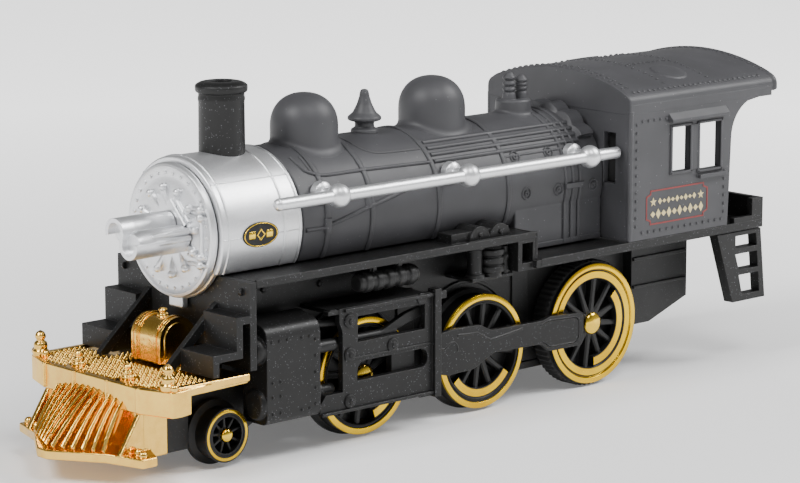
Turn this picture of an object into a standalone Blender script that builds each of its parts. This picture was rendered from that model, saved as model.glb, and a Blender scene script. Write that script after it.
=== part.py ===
"""A toy steam locomotive, 178 mm long, with a clockwork drive on its rear axle.

+X points to the cowcatcher, +Y to the engine's left and +Z up. The origin lies on the
floor under the middle of the length. Dimensions are in millimetres until mesh_from()
turns them into metres.
"""

import math

import bmesh
import bpy
from mathutils import Matrix, Vector

MM = 0.001
GAP = 0.3  # between pieces that touch

# Overall length
FRONT_TIP = 89.0
ROOF_REAR = -89.0

# Wheels and axles: x of each axle, and the radius of each wheel where it meets the floor
REAR_X, MIDDLE_X, FRONT_X, PONY_X = -39.4, -7.8, 23.5, 57.7
REAR_R, DRIVER_R, PONY_R = 13.1, 12.1, 6.15
AXLE_R = 1.0
BORE_CLEARANCE = 0.06
WHEEL_BACK = 10.3  # |y| of a wheel's inner face
WHEEL_FACE = 15.2  # |y| of its rim's outer face
HUB_FACE = 14.7
CAP_TIP = 15.8
CRANK_R = 7.8

# Side rods, in their own layer outside the hub caps
ROD_IN, ROD_OUT = 16.15, 17.35
GUIDE_IN, GUIDE_OUT = 17.7, 19.0

# Boards and frame
BOARD_TOP, BOARD_UNDER, BOARD_HALF = 35.3, 34.1, 19.7
BOARD_FRONT, BOARD_STEP = 54.0, -18.5
LOW_TOP, LOW_UNDER, LOW_HALF = 29.9, 28.4, 20.8
PLATFORM_REAR = -85.0
FRAME_HALF, POCKET_HALF = 9.4, 7.2
FRAME_BOTTOM = 6.5

# Boiler
BOILER_Z, BOILER_R, SMOKEBOX_R = 42.8, 13.6, 13.8
BOILER_REAR, BOILER_FRONT = -43.5, 37.4
SMOKEBOX_FRONT, DOOR_FACE = 57.2, 58.6
WALL = 1.6

# Cab
CAB_FRONT, CAB_REAR, CAB_HALF = -43.8, -73.7, 20.8
CAB_BOTTOM, CAB_EAVE, ROOF_CROWN = 30.2, 57.0, 64.3
CAB_WALL = 1.4

# Handrail
RAIL_Y, RAIL_Z, RAIL_R = 18.0, 48.6, 0.85
RAIL_KNOBS = (32.5, -1.2, -34.9)

# Drive train: tooth counts, module and gear centres as seen from the left side
MODULE = 0.5
PINION_TEETH, IDLER_TEETH, GREAT_TEETH = 10, 22, 26
IDLER_ANGLE, GREAT_ANGLE = 50.0, -20.0
CASE_HALF = 6.8

COLOURS = {
    "grey_enamel": ((0.09, 0.09, 0.095), 0.55, 0.1),
    "silver_paint": ((0.55, 0.56, 0.58), 0.35, 0.6),
    "black_plastic": ((0.02, 0.021, 0.023), 0.5, 0.0),
    "gold_plating": ((0.9, 0.55, 0.18), 0.15, 1.0),
    "brass_pins": ((0.88, 0.62, 0.2), 0.2, 1.0),
    "rubber": ((0.015, 0.015, 0.015), 0.8, 0.0),
    "steel": ((0.5, 0.5, 0.52), 0.3, 1.0),
    "white_plastic": ((0.75, 0.74, 0.7), 0.45, 0.0),
    "spring_steel": ((0.25, 0.28, 0.34), 0.25, 1.0),
}


def clear_scene():
    """Removes every object of the open scene."""
    for obj in list(bpy.data.objects):
        bpy.data.objects.remove(obj)


def material(slot):
    """The Principled material of a colour slot, made once."""
    found = bpy.data.materials.get(slot)
    if found:
        return found
    colour, roughness, metallic = COLOURS[slot]
    made = bpy.data.materials.new(slot)
    made.use_nodes = True
    shader = made.node_tree.nodes["Principled BSDF"]
    shader.inputs["Base Color"].default_value = (*colour, 1.0)
    shader.inputs["Roughness"].default_value = roughness
    shader.inputs["Metallic"].default_value = metallic
    return made


# ---------------------------------------------------------------- solids, in millimetres


def box(x, y, z):
    """A block between the two values of x, of y and of z."""
    bm = bmesh.new()
    bmesh.ops.create_cube(bm, size=1.0)
    size = Vector((x[1] - x[0], y[1] - y[0], z[1] - z[0]))
    middle = Vector((sum(x) / 2, sum(y) / 2, sum(z) / 2))
    bmesh.ops.scale(bm, vec=size, verts=bm.verts)
    bmesh.ops.translate(bm, vec=middle, verts=bm.verts)
    return bm


PLANES = {
    "x": lambda u, v, w: (w, u, v),  # outline in (y, z), pushed along x
    "y": lambda u, v, w: (u, w, v),  # outline in (x, z), pushed along y
    "z": lambda u, v, w: (u, v, w),  # outline in (x, y), pushed along z
}


def prism(axis, outline, low, high):
    """A closed outline pushed from low to high along an axis."""
    place = PLANES[axis]
    bm = bmesh.new()
    base = [bm.verts.new(place(u, v, low)) for u, v in outline]
    face = bm.faces.new(base)
    pushed = bmesh.ops.extrude_face_region(bm, geom=[face])
    moved = [item for item in pushed["geom"] if isinstance(item, bmesh.types.BMVert)]
    shift = Vector(place(0, 0, high)) - Vector(place(0, 0, low))
    bmesh.ops.translate(bm, vec=shift, verts=moved)
    bmesh.ops.recalc_face_normals(bm, faces=bm.faces)
    return bm


def turned(axis, centre, profile, steps=32):
    """A profile of (radius, distance along the axis) spun about a line through centre."""
    bm = bmesh.new()
    rings = []
    for radius, along in profile:
        if radius < 1e-6:
            rings.append([bm.verts.new((0, 0, along))])
            continue
        angles = [math.tau * i / steps for i in range(steps)]
        rings.append(
            [bm.verts.new((radius * math.cos(a), radius * math.sin(a), along)) for a in angles]
        )
    for lower, upper in zip(rings, rings[1:]):
        for i in range(steps):
            j = (i + 1) % steps
            corners = [lower[i % len(lower)], lower[j % len(lower)]]
            corners += [upper[j % len(upper)], upper[i % len(upper)]]
            unique = list(dict.fromkeys(corners))
            if len(unique) > 2:
                bm.faces.new(unique)
    for ring in (rings[0], rings[-1]):
        if len(ring) > 1:
            bm.faces.new(ring)
    turn = {
        "x": Matrix.Rotation(math.pi / 2, 4, "Y"),
        "y": Matrix.Rotation(-math.pi / 2, 4, "X"),
        "z": Matrix.Identity(4),
    }[axis]
    bmesh.ops.transform(bm, matrix=Matrix.Translation(centre) @ turn, verts=bm.verts)
    bmesh.ops.recalc_face_normals(bm, faces=bm.faces)
    return bm


def rod(axis, centre, radius, low, high, steps=20):
    """A plain cylinder about a line through centre, from low to high on the axis."""
    index = "xyz".index(axis)
    start = list(centre)
    start[index] = 0.0
    return turned(axis, start, [(radius, low), (radius, high)], steps)


def ball(centre, radius, steps=16):
    """A sphere."""
    bm = bmesh.new()
    bmesh.ops.create_uvsphere(bm, u_segments=steps, v_segments=steps // 2, radius=radius)
    bmesh.ops.translate(bm, vec=Vector(centre), verts=bm.verts)
    return bm


def mirrored(bm):
    """The same solid on the engine's other side."""
    copy = bm.copy()
    bmesh.ops.scale(copy, vec=(1, -1, 1), verts=copy.verts)
    bmesh.ops.reverse_faces(copy, faces=copy.faces)
    return copy


def both_sides(pieces):
    """Each solid with its mirror image across the middle plane."""
    return [copy for bm in pieces for copy in (bm, mirrored(bm))]


def mesh_from(bm, name, origin):
    """A mesh in metres whose origin lies at the given point."""
    copy = bm.copy()
    bmesh.ops.translate(copy, vec=-Vector(origin), verts=copy.verts)
    bmesh.ops.scale(copy, vec=(MM, MM, MM), verts=copy.verts)
    mesh = bpy.data.meshes.new(name)
    copy.to_mesh(mesh)
    copy.free()
    return mesh


def piece(name, slot, solids, cuts=(), origin=(0, 0, 0)):
    """One object: its solids joined, its cuts taken away, smooth where it is round."""
    obj = bpy.data.objects.new(name, mesh_from(solids[0], name, origin))
    bpy.context.collection.objects.link(obj)
    helpers = []
    for operation, group in (("UNION", solids[1:]), ("DIFFERENCE", cuts)):
        for i, bm in enumerate(group):
            label = f"{name}_{operation.lower()}_{i}"
            helper = bpy.data.objects.new(label, mesh_from(bm, label, origin))
            helper.hide_render = True
            helper.display_type = "WIRE"
            bpy.context.collection.objects.link(helper)
            modifier = obj.modifiers.new(label, "BOOLEAN")
            modifier.operation = operation
            modifier.solver = "EXACT"
            modifier.object = helper
            helpers.append(helper)
    if helpers:
        graph = bpy.context.evaluated_depsgraph_get()
        joined = bpy.data.meshes.new_from_object(obj.evaluated_get(graph))
        obj.modifiers.clear()
        obj.data = joined
        for helper in helpers:
            bpy.data.objects.remove(helper)
    obj.data.name = name
    obj.data.materials.clear()
    obj.data.materials.append(material(slot))
    obj.data.shade_smooth()
    obj.data.set_sharp_from_angle(angle=math.radians(35))
    obj.location = Vector(origin) * MM
    return obj


def pair(name, slot, solids, cuts=()):
    """The left object and its mirror image on the right."""
    piece(f"{name}_left", slot, solids, cuts)
    piece(f"{name}_right", slot, [mirrored(s) for s in solids], [mirrored(c) for c in cuts])


def arc(centre, radius, start, end, steps):
    """Points of an arc, with the angles in degrees."""
    angles = [math.radians(start + (end - start) * i / steps) for i in range(steps + 1)]
    return [(centre[0] + radius * math.cos(a), centre[1] + radius * math.sin(a)) for a in angles]


# ---------------------------------------------------------------- running gear


def driver_wheel(x, z, flange, rim, tyre=False):
    """The left driving wheel: back disc, flange or tyre seat, dished face, rim and hub."""
    seat = rim - 1.4
    back = [(0, WHEEL_BACK), (flange, WHEEL_BACK), (flange, WHEEL_BACK + 1.0)]
    if tyre:
        back = [(0, WHEEL_BACK), (seat, WHEEL_BACK)]
    else:
        seat = rim - 0.2
    profile = back + [
        (seat, back[-1][1]),
        (seat, WHEEL_FACE - 0.7),
        (rim, WHEEL_FACE - 0.7),
        (rim, WHEEL_FACE),
        (rim - 2.6, WHEEL_FACE),
        (rim - 2.6, WHEEL_FACE - 2.4),
        (2.8, WHEEL_FACE - 2.4),
        (2.8, HUB_FACE),
        (0, HUB_FACE),
    ]
    profile = [p for i, p in enumerate(profile) if i == 0 or p != profile[i - 1]]
    return [turned("y", (x, 0, z), profile, 24)]


def bore(x, z):
    """The cutter of an axle hole right across the engine."""
    return rod("y", (x, 0, z), AXLE_R + BORE_CLEARANCE, -30, 30, 16)


def make_wheels():
    """Eight wheels, two rubber tyres, four axles and eight hub caps."""
    z = REAR_R
    crank = (REAR_X + CRANK_R, 0, z)
    rear = driver_wheel(REAR_X, z, 0, REAR_R - 0.6, tyre=True)
    rear.append(turned("y", crank, [(2.0, 12.0), (2.0, HUB_FACE)], 14))
    crank_hole = rod("y", crank, 1.3, 12.6, 20, 12)
    wheel_pair("driver_rear", "black_plastic", rear, [bore(REAR_X, z), crank_hole], REAR_X, z)
    tyre = [
        (REAR_R - 1.7, WHEEL_BACK),
        (REAR_R, WHEEL_BACK),
        (REAR_R, WHEEL_FACE - 1.0),
        (REAR_R - 1.7, WHEEL_FACE - 1.0),
    ]
    hollow = rod("y", (REAR_X, 0, z), REAR_R - 1.7, 0, 30, 24)
    ring = turned("y", (REAR_X, 0, z), tyre, 24)
    wheel_pair("tyre_rear", "rubber", [ring], [hollow], REAR_X, z)
    for name, x in (("driver_middle", MIDDLE_X), ("driver_front", FRONT_X)):
        solids = driver_wheel(x, DRIVER_R, DRIVER_R, DRIVER_R - 0.6)
        wheel_pair(name, "black_plastic", solids, [bore(x, DRIVER_R)], x, DRIVER_R)
    pony = [
        (0, WHEEL_BACK),
        (PONY_R, WHEEL_BACK),
        (PONY_R, WHEEL_BACK + 1.2),
        (PONY_R - 0.9, WHEEL_BACK + 1.6),
        (PONY_R - 0.9, WHEEL_FACE),
        (PONY_R - 2.0, WHEEL_FACE),
        (PONY_R - 2.0, WHEEL_FACE - 1.2),
        (1.6, WHEEL_FACE - 1.2),
        (1.6, HUB_FACE),
        (0, HUB_FACE),
    ]
    solids = [turned("y", (PONY_X, 0, PONY_R), pony, 16)]
    wheel_pair("pony_wheel", "black_plastic", solids, [bore(PONY_X, PONY_R)], PONY_X, PONY_R)
    for name, x, z, cap_r in (
        ("rear", REAR_X, REAR_R, 2.3),
        ("middle", MIDDLE_X, DRIVER_R, 2.2),
        ("front", FRONT_X, DRIVER_R, 2.2),
        ("pony", PONY_X, PONY_R, 1.35),
    ):
        head = HUB_FACE + 0.02
        dome = [(0.75, 13.6), (0.75, head), (cap_r, head), (cap_r, head + 0.25)]
        dome += [(cap_r * 0.8, head + 0.7), (cap_r * 0.42, CAP_TIP - 0.08), (0, CAP_TIP)]
        right = mirrored(turned("y", (x, 0, z), dome, 12))
        shaft = rod("y", (x, 0, z), AXLE_R, -13.0, 14.8, 12)
        domed_head = turned("y", (x, 0, z), [(0, head)] + dome[2:], 12)
        piece(f"axle_{name}", "brass_pins", [shaft, domed_head], origin=(x, 0, z))
        piece(f"hub_cap_{name}", "brass_pins", [right], origin=(x, 0, z))


def wheel_pair(name, slot, solids, cuts, x, z):
    """A wheel on the left and its mirror image, both with their origin on the axle."""
    for side, flip in (("left", lambda bm: bm), ("right", mirrored)):
        piece(f"{name}_{side}", slot, [flip(s) for s in solids], [flip(c) for c in cuts], (x, 0, z))


def make_side_rods():
    """The connecting rods: a peg in the rear wheel's crank, a thin neck and a wide boss."""
    pin_x, pin_z = REAR_X + CRANK_R, REAR_R
    outline = [
        (pin_x - 2.9, pin_z - 2.6),
        (pin_x - 2.3, pin_z - 3.4),
        (pin_x + 7.0, pin_z - 3.3),
        (pin_x + 9.2, pin_z - 1.5),
        (-9.0, 11.9),
        (-3.4, 9.4),
        (3.6, 9.2),
        (9.6, 10.9),
        (9.6, 16.2),
        (5.6, 17.9),
        (2.2, 18.4),
        (-5.2, 18.2),
        (-8.2, 16.7),
        (pin_x + 9.2, pin_z + 3.3),
        (pin_x + 6.6, pin_z + 3.9),
        (pin_x - 2.2, pin_z + 3.4),
        (pin_x - 2.9, pin_z + 2.6),
    ]
    plate = prism("y", outline, ROD_IN, ROD_OUT)
    peg = rod("y", (pin_x, 0, pin_z), 1.15, 12.9, ROD_IN + 0.4, 12)
    boss = rod("y", (2.0, 0, 13.6), 2.6, ROD_OUT - 0.3, ROD_OUT + 0.25, 14)
    left = [plate, peg, boss]
    piece("side_rod_left", "black_plastic", left, origin=(pin_x, 0, pin_z))
    right = [mirrored(bm) for bm in left]
    piece("side_rod_right", "black_plastic", right, origin=(pin_x, 0, pin_z))


# ---------------------------------------------------------------- clockwork drive


def gear_outline(teeth, phase, backlash=0.14):
    """Points of a spur gear about the origin with a tooth centred on the phase angle.

    A flank is the straight line from the involute's point on the root circle, or on
    the base circle where that is larger, to its point on the tip circle.
    """
    pitch = MODULE * teeth / 2
    base = pitch * math.cos(math.radians(20))
    tip, root = pitch + 0.8 * MODULE, pitch - 1.15 * MODULE
    half_pitch = math.pi / (2 * teeth) - backlash / (2 * pitch)
    spread = math.tan(math.acos(base / pitch)) - math.acos(base / pitch)

    def half_angle(radius):
        if radius <= base:
            return half_pitch + spread
        pressure = math.acos(base / radius)
        return half_pitch + spread - (math.tan(pressure) - pressure)

    radii = [root, tip]
    points = []
    for tooth in range(teeth):
        middle = math.radians(phase) + math.tau * tooth / teeth
        for radius in radii:
            angle = middle - half_angle(radius)
            points.append((radius * math.cos(angle), radius * math.sin(angle)))
        for radius in reversed(radii):
            angle = middle + half_angle(radius)
            points.append((radius * math.cos(angle), radius * math.sin(angle)))
    return points


def gear(centre, teeth, phase, low, high):
    """A spur gear lying across the engine between two values of y."""
    outline = [(centre[0] + u, centre[1] + v) for u, v in gear_outline(teeth, phase)]
    return prism("y", outline, low, high)


def polar(centre, radius, angle):
    """The point at a radius and an angle in degrees from a centre."""
    a = math.radians(angle)
    return centre[0] + radius * math.cos(a), centre[1] + radius * math.sin(a)


def make_drive():
    """Motor case halves, mainspring, great gear, idler gear and the rear axle's pinion."""
    axle = (REAR_X, REAR_R)
    idler = polar(axle, MODULE * (PINION_TEETH + IDLER_TEETH) / 2, IDLER_ANGLE)
    great = polar(idler, MODULE * (PINION_TEETH + GREAT_TEETH) / 2, GREAT_ANGLE)
    pinion = gear(axle, PINION_TEETH, IDLER_ANGLE, 0.6, 3.2)
    hole = bore(*axle)
    piece("axle_pinion", "white_plastic", [pinion], [hole], (axle[0], 0, axle[1]))

    # Opposite the pinion's tooth the idler shows a gap: half a tooth pitch round.
    wheel_phase = IDLER_ANGLE + 180 + 180 / IDLER_TEETH
    wheel = gear(idler, IDLER_TEETH, wheel_phase, 0.9, 2.9)
    small = gear(idler, PINION_TEETH, GREAT_ANGLE, -2.3, 0.95)
    arbor = rod("y", (idler[0], 0, idler[1]), 0.9, -6.5, 6.5, 12)
    piece("idler_gear", "white_plastic", [wheel, small, arbor], origin=(idler[0], 0, idler[1]))

    great_phase = GREAT_ANGLE + 180 + 180 / GREAT_TEETH
    face = gear(great, GREAT_TEETH, great_phase, -2.0, -0.2)
    arbor = rod("y", (great[0], 0, great[1]), 1.3, -6.5, 6.5, 12)
    piece("great_gear", "white_plastic", [face, arbor], origin=(great[0], 0, great[1]))

    turns, inner, outer, steps = 2.5, 2.1, 5.9, 36
    walls = []
    for offset, order in ((0.0, range(steps + 1)), (0.4, range(steps, -1, -1))):
        for i in order:
            radius = inner + (outer - inner) * i / steps + offset
            walls.append(polar(great, radius, 360 * turns * i / steps))
    spring = prism("y", walls, -5.0, -2.6)
    piece("mainspring", "spring_steel", [spring], origin=(great[0], 0, great[1]))

    rear, front, low, high = -44.2, -17.6, 8.1, 26.4
    holes = [bore(*axle)]
    holes.append(rod("y", (idler[0], 0, idler[1]), 0.98, -30, 30, 14))
    holes.append(rod("y", (great[0], 0, great[1]), 1.4, -30, 30, 14))
    shell = box((rear, front), (0.15, CASE_HALF), (low, high))
    inside = box((rear + 0.8, front - 0.8), (-1, CASE_HALF - 0.9), (low + 0.8, high - 0.8))
    cuts = [inside] + holes
    pair("motor_case", "white_plastic", [shell], cuts)


# ---------------------------------------------------------------- frame, boards and pilot


def make_frame():
    """The chassis beam with its motor pocket, its bottom cover and two screws."""
    side = [
        (-71.0, 28.1),
        (-71.0, 14.2),
        (-59.5, 10.1),
        (-48.5, FRAME_BOTTOM),
        (45.0, FRAME_BOTTOM),
        (50.0, 4.2),
        (70.0, 4.2),
        (70.0, 16.3),
        (54.0, 16.3),
        (54.0, 33.8),
        (-17.0, 33.8),
        (-17.0, 28.1),
    ]
    beam = prism("y", side, -FRAME_HALF, FRAME_HALF)
    rear = [(-71.0, 28.1), (-71.0, 14.2), (-59.5, 10.1), (-54.0, 10.1), (-54.0, 28.1)]
    wide_rear = prism("y", rear, -12.0, 12.0)
    front_block = box((64.4, 70.0), (-12.0, 12.0), (4.2, 16.3))
    bosses = both_sides([rod("y", (46.2, 0, 30.0), 1.3, 9.0, 10.2, 16)])
    motor = box((-44.6, -17.2), (-POCKET_HALF, POCKET_HALF), (0, 26.8))
    pocket = box((-13.0, 40.0), (-POCKET_HALF, POCKET_HALF), (0, 31.5))
    holes = [
        bore(REAR_X, REAR_R),
        bore(MIDDLE_X, DRIVER_R),
        bore(FRONT_X, DRIVER_R),
        bore(PONY_X, PONY_R),
    ]
    screws = (-15.1, 42.5)
    holes += [rod("z", (x, 0, 0), 1.0, 0, 13, 16) for x in screws]
    solids = [beam, wide_rear, front_block] + bosses
    piece("chassis_frame", "black_plastic", solids, [motor, pocket] + holes)

    cover = box((-47.5, 44.5), (-FRAME_HALF, FRAME_HALF), (4.8, FRAME_BOTTOM - GAP))
    wells = [turned("z", (x, 0, 0), [(2.1, 4), (2.1, 5.5), (1.1, 5.5), (1.1, 8)], 20) for x in screws]
    piece("chassis_cover", "black_plastic", [cover], wells)
    for name, x in zip(("screw_middle", "screw_front"), screws):
        profile = [(1.8, 4.95), (1.8, 5.4), (0.9, 5.4), (0.9, 12.0)]
        screw = turned("z", (x, 0, 0), profile, 16)
        slot = box((x - 3, x + 3), (-0.25, 0.25), (4, 5.15))
        piece(name, "steel", [screw], [slot])


def make_footplate():
    """Running boards on two levels, with reservoirs, end frames and a platform rail."""
    upper = box((BOARD_STEP, BOARD_FRONT), (-BOARD_HALF, BOARD_HALF), (BOARD_UNDER, BOARD_TOP))
    lower = box((PLATFORM_REAR, BOARD_STEP + 1.2), (-LOW_HALF, LOW_HALF), (LOW_UNDER, LOW_TOP))
    drop = box((BOARD_STEP, BOARD_STEP + 1.2), (-BOARD_HALF, BOARD_HALF), (LOW_UNDER, BOARD_TOP))
    end_frame = box((BOARD_STEP, -13.2), (12.0, BOARD_HALF), (28.1, BOARD_UNDER + 0.1))
    window = box((-17.3, -14.3), (5.0, 30.0), (29.6, 33.6))
    humps = [rod("y", (x, 0, BOARD_TOP), 2.8, 12.8, 17.9, 20) for x in (-4.4, -9.9)]
    humps.append(box((-12.7, 2.8), (13.4, 17.4), (BOARD_TOP - 0.2, BOARD_TOP + 1.9)))
    rail = box((PLATFORM_REAR, PLATFORM_REAR + 1.4), (7.0, LOW_HALF), (LOW_TOP - 0.2, 34.8))
    corner = box((PLATFORM_REAR, PLATFORM_REAR + 3.4), (LOW_HALF - 1.3, LOW_HALF), (LOW_TOP - 0.2, 34.8))
    curb = box((PLATFORM_REAR, -76.0), (LOW_HALF - 1.3, LOW_HALF), (LOW_TOP - 0.2, 31.2))
    below_board = box((-13.2, 4.0), (10.0, 18.5), (31.0, BOARD_UNDER))
    solids = [upper, lower, drop] + both_sides([end_frame] + humps + [rail, corner, curb])
    piece("footplate", "black_plastic", solids, both_sides([window, below_board]))


def make_saddle():
    """The front bulkhead under the smokebox, with two-tier steps and brace bars."""
    plate = box((54.3, 55.8), (-19.8, 19.8), (18.8, BOARD_TOP))
    inner, outer = 10.2, 19.8
    stair = [
        (55.7, 29.2),
        (59.0, 29.2),
        (59.0, 22.9),
        (64.6, 22.9),
        (64.6, 18.8),
        (63.2, 18.8),
        (63.2, 21.5),
        (57.6, 21.5),
        (57.6, 27.8),
        (55.7, 27.8),
    ]
    steps = prism("y", stair, inner, outer)
    cheek = [(55.7, 28.0), (58.8, 28.0), (58.8, 22.0), (64.4, 22.0), (64.4, 18.8), (55.7, 18.8)]
    wall = prism("y", cheek, inner, inner + 1.3)
    brace = [(55.7, 30.4), (56.6, 29.9), (68.2, 19.5), (68.2, 18.8), (66.4, 18.8), (55.7, 28.4)]
    bar = prism("y", brace, 9.3, 10.5)
    solids = [plate] + both_sides([steps, wall, bar])
    piece("front_saddle", "black_plastic", solids)


def make_pilot():
    """The plated pilot: deck, beam, apron, slats, foot rail and four posts."""
    deck = [(56.4, -19.9), (73.4, -21.2), (75.2, -21.2), (77.4, -14.4)]
    deck = deck + [(x, -y) for x, y in reversed(deck)]
    plate = prism("z", deck, 16.6, 18.5)
    beam = [(70.3, -21.0), (73.4, -21.6), (75.2, -21.6), (77.8, -14.4)]
    beam = beam + [(x, -y) for x, y in reversed(beam)]
    front = prism("z", beam, 13.3, 18.5)
    apron = box((71.2, 76.6), (-13.4, 13.4), (4.4, 14.0))
    foot = [(74.0, -12.0), (77.2, -18.9), (80.2, -18.9), (82.6, -10.4), (FRONT_TIP, -1.0)]
    foot = foot + [(x, -y) for x, y in reversed(foot)]
    rail = prism("z", foot, 4.4, 6.2)
    slats = []
    for i in range(11):
        y = 2.0 * (i - 5)
        low_x = 87.4 - 0.46 * abs(y)
        slope = [(76.0, 15.6 - 0.012 * y * y), (77.6, 15.6 - 0.012 * y * y), (low_x, 6.0)]
        slats.append(prism("y", slope + [(76.0, 6.0)], y - 0.45, y + 0.45))
    struts = both_sides([prism("y", [(76.5, 12.5), (77.6, 12.5), (81.4, 6.0), (76.5, 6.0)], 13.0, 14.0)])
    posts = []
    for y, height, radius in ((19.3, 4.6, 1.35), (7.4, 2.8, 1.0)):
        top = 18.4 + height
        profile = [
            (radius, 18.3),
            (radius * 1.1, 18.4 + 0.35 * height),
            (radius * 0.55, 18.4 + 0.55 * height),
            (radius * 0.75, 18.4 + 0.78 * height),
            (0, top),
        ]
        posts += both_sides([turned("z", (74.6, y, 0), profile, 10)])
    solids = [plate, front, apron, rail] + slats + struts + posts
    relief = box((60.0, 70.25), (-12.3, 12.3), (4.0, 16.55))
    piece("pilot", "gold_plating", solids, [relief])

    hood = [(64.6, 18.8)] + arc((60.5, 23.0), 4.1, 0, 180, 10) + [(56.4, 18.8)]
    rim = [(65.1, 18.8)] + arc((60.5, 23.0), 4.55, 0, 180, 10) + [(56.1, 18.8)]
    body = prism("y", hood, -4.1, 4.1)
    rims = both_sides([prism("y", rim, 2.7, 3.4), prism("y", rim, 3.7, 4.35)])
    knob = turned("z", (60.4, 0, 0), [(0.9, 26.8), (0.9, 27.2), (0.5, 27.5), (0.8, 28.0), (0, 28.5)], 8)
    piece("headlamp", "gold_plating", [body, knob] + rims)


# ---------------------------------------------------------------- boiler and fittings


def vault(radius, floor, steps=36):
    """An arched (y, z) outline: a circle about the boiler's axis, cut off at a floor."""
    start = -math.degrees(math.asin((BOILER_Z - floor) / radius))
    return arc((0, BOILER_Z), radius, start, 180 - start, steps)


def make_boiler():
    """The barrel and firebox shell, the smokebox and its door, and what stands on them."""
    floor = BOARD_TOP + GAP
    barrel = prism("x", vault(BOILER_R, floor), BOILER_REAR, BOILER_FRONT)
    sides = box((BOILER_REAR, BOARD_STEP - GAP), (-13.0, 13.0), (CAB_BOTTOM, 41.0))
    inside = prism("x", vault(BOILER_R - WALL, floor - 2), BOILER_REAR + WALL, BOILER_FRONT + 1)
    room = box((BOILER_REAR + WALL, BOARD_STEP - WALL), (-11.4, 11.4), (CAB_BOTTOM - 1, 40.0))
    piece("boiler_shell", "grey_enamel", [barrel, sides], [inside, room])

    rear = BOILER_FRONT + GAP
    shell = prism("x", vault(SMOKEBOX_R, floor), rear, SMOKEBOX_FRONT)
    ring = rod("x", (0, 0, BOILER_Z), 12.9, 56.2, SMOKEBOX_FRONT, 32)
    tab = box((56.2, SMOKEBOX_FRONT), (-2.2, 2.2), (28.0, 32.0))
    hollow = prism("x", vault(SMOKEBOX_R - WALL, floor - 2), rear - 1, 55.8)
    socket = rod("z", (45.9, 0, 0), 3.4, 50, 60, 16)
    piece("smokebox", "silver_paint", [shell, ring, tab], [hollow, socket])

    back = SMOKEBOX_FRONT + GAP
    plate = [(0, back), (12.6, back), (12.6, DOOR_FACE - 0.5), (12.1, DOOR_FACE), (0, DOOR_FACE)]
    disc = turned("x", (0, 0, BOILER_Z), plate, 32)
    dogs = [
        box((DOOR_FACE - 0.2, DOOR_FACE + 0.5), (-0.6, 0.6), (6.0, 8.4))
        for _ in range(12)
    ]
    for i, dog in enumerate(dogs):
        turn = Matrix.Rotation(math.tau * (i + 0.5) / 12, 4, "X")
        bmesh.ops.transform(dog, matrix=Matrix.Translation((0, 0, BOILER_Z)) @ turn, verts=dog.verts)
    piece("smokebox_door", "silver_paint", [disc] + dogs)

    face = DOOR_FACE + GAP
    arch, trough = (0, 0.0, 44.1), (0, 2.6, 41.9)
    tubes = [rod("x", arch, 2.5, face, 71.6, 18), rod("x", trough, 2.5, face, 71.0, 18)]
    pipes = [rod("x", (0, 4.9, z), 0.55, face, 67.5, 8) for z in (43.0, 44.3)]
    link = box((face, 67.0), (1.8, 4.9), (43.0, 44.3))
    mouths = [rod("x", centre, 1.6, 68.0, 80, 14) for centre in (arch, trough)]
    piece("front_nozzle", "silver_paint", tubes + [link] + pipes, mouths)

    stack = [
        (3.0, 52.0),
        (3.0, 56.8),
        (4.35, 56.8),
        (4.4, 67.3),
        (4.9, 67.9),
        (5.0, 69.0),
        (4.4, 69.7),
        (1.9, 69.7),
        (1.9, 60.0),
        (0, 60.0),
    ]
    piece("chimney", "black_plastic", [turned("z", (45.9, 0, 0), stack, 18)])


def dome(name, x, radius, top):
    """A round-topped dome on a flared foot that follows the barrel."""
    profile = [(0, 50), (radius + 1.8, 50.0), (radius + 1.4, 55.3), (radius + 0.2, 57.2)]
    profile += [(radius, 59.0)]
    profile += [(r, top - radius + h) for r, h in arc((0, 0), radius, 0, 90, 5)[:-1]]
    profile += [(0, top)]
    saddle = rod("x", (0, 0, BOILER_Z), BOILER_R + GAP, x - 20, x + 20, 48)
    piece(name, "grey_enamel", [turned("z", (x, 0, 0), profile, 20)], [saddle])


def make_fittings():
    """Domes, the turned finial, the whistles and the handrails."""
    dome("sand_dome", 25.5, 6.6, 65.6)
    dome("steam_dome", -8.1, 6.7, 65.8)
    seat = BOILER_Z + BOILER_R + 0.05
    finial = [
        (2.6, seat),
        (2.6, seat + 0.5),
        (1.9, seat + 0.8),
        (1.9, seat + 1.6),
        (3.4, seat + 1.8),
        (3.3, seat + 2.4),
        (1.9, seat + 3.6),
        (1.1, seat + 7.0),
        (0.6, seat + 8.0),
        (0, 64.8),
    ]
    piece("finial", "grey_enamel", [turned("z", (9.9, 0, 0), finial, 14)])
    base = turned("z", (-30.9, 0, 0), [(4.6, 50.0), (4.4, 58.3), (3.8, 58.9), (0, 58.9)], 16)
    posts = []
    for x, y in ((-29.4, 0.3), (-32.7, 0.4)):
        beads = [(1.2, 58.6)]
        for z in (59.9, 61.5, 63.1):
            beads += [(1.0, z - 0.7), (1.4, z), (1.0, z + 0.7)]
        beads += [(0, 64.6)]
        posts.append(turned("z", (x, y, 0), beads, 8))
    saddle = rod("x", (0, 0, BOILER_Z), BOILER_R + GAP, -50, -10, 48)
    piece("whistles", "grey_enamel", [base] + posts, [saddle])

    bar = rod("x", (0, RAIL_Y, RAIL_Z), RAIL_R, CAB_FRONT + 1.0, 47.4, 8)
    solids = [bar]
    for x in RAIL_KNOBS:
        solids.append(ball((x, RAIL_Y, RAIL_Z), 1.8, 10))
        foot = [(2.0, 12.7), (2.0, 13.9), (1.0, 14.2), (1.0, RAIL_Y)]
        solids.append(turned("y", (x, 0, RAIL_Z), foot, 10))
    barrel = rod("x", (0, 0, BOILER_Z), BOILER_R + GAP, -60, 60, 48)
    pair("handrail", "silver_paint", solids, [barrel])


# ---------------------------------------------------------------- cab


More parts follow.
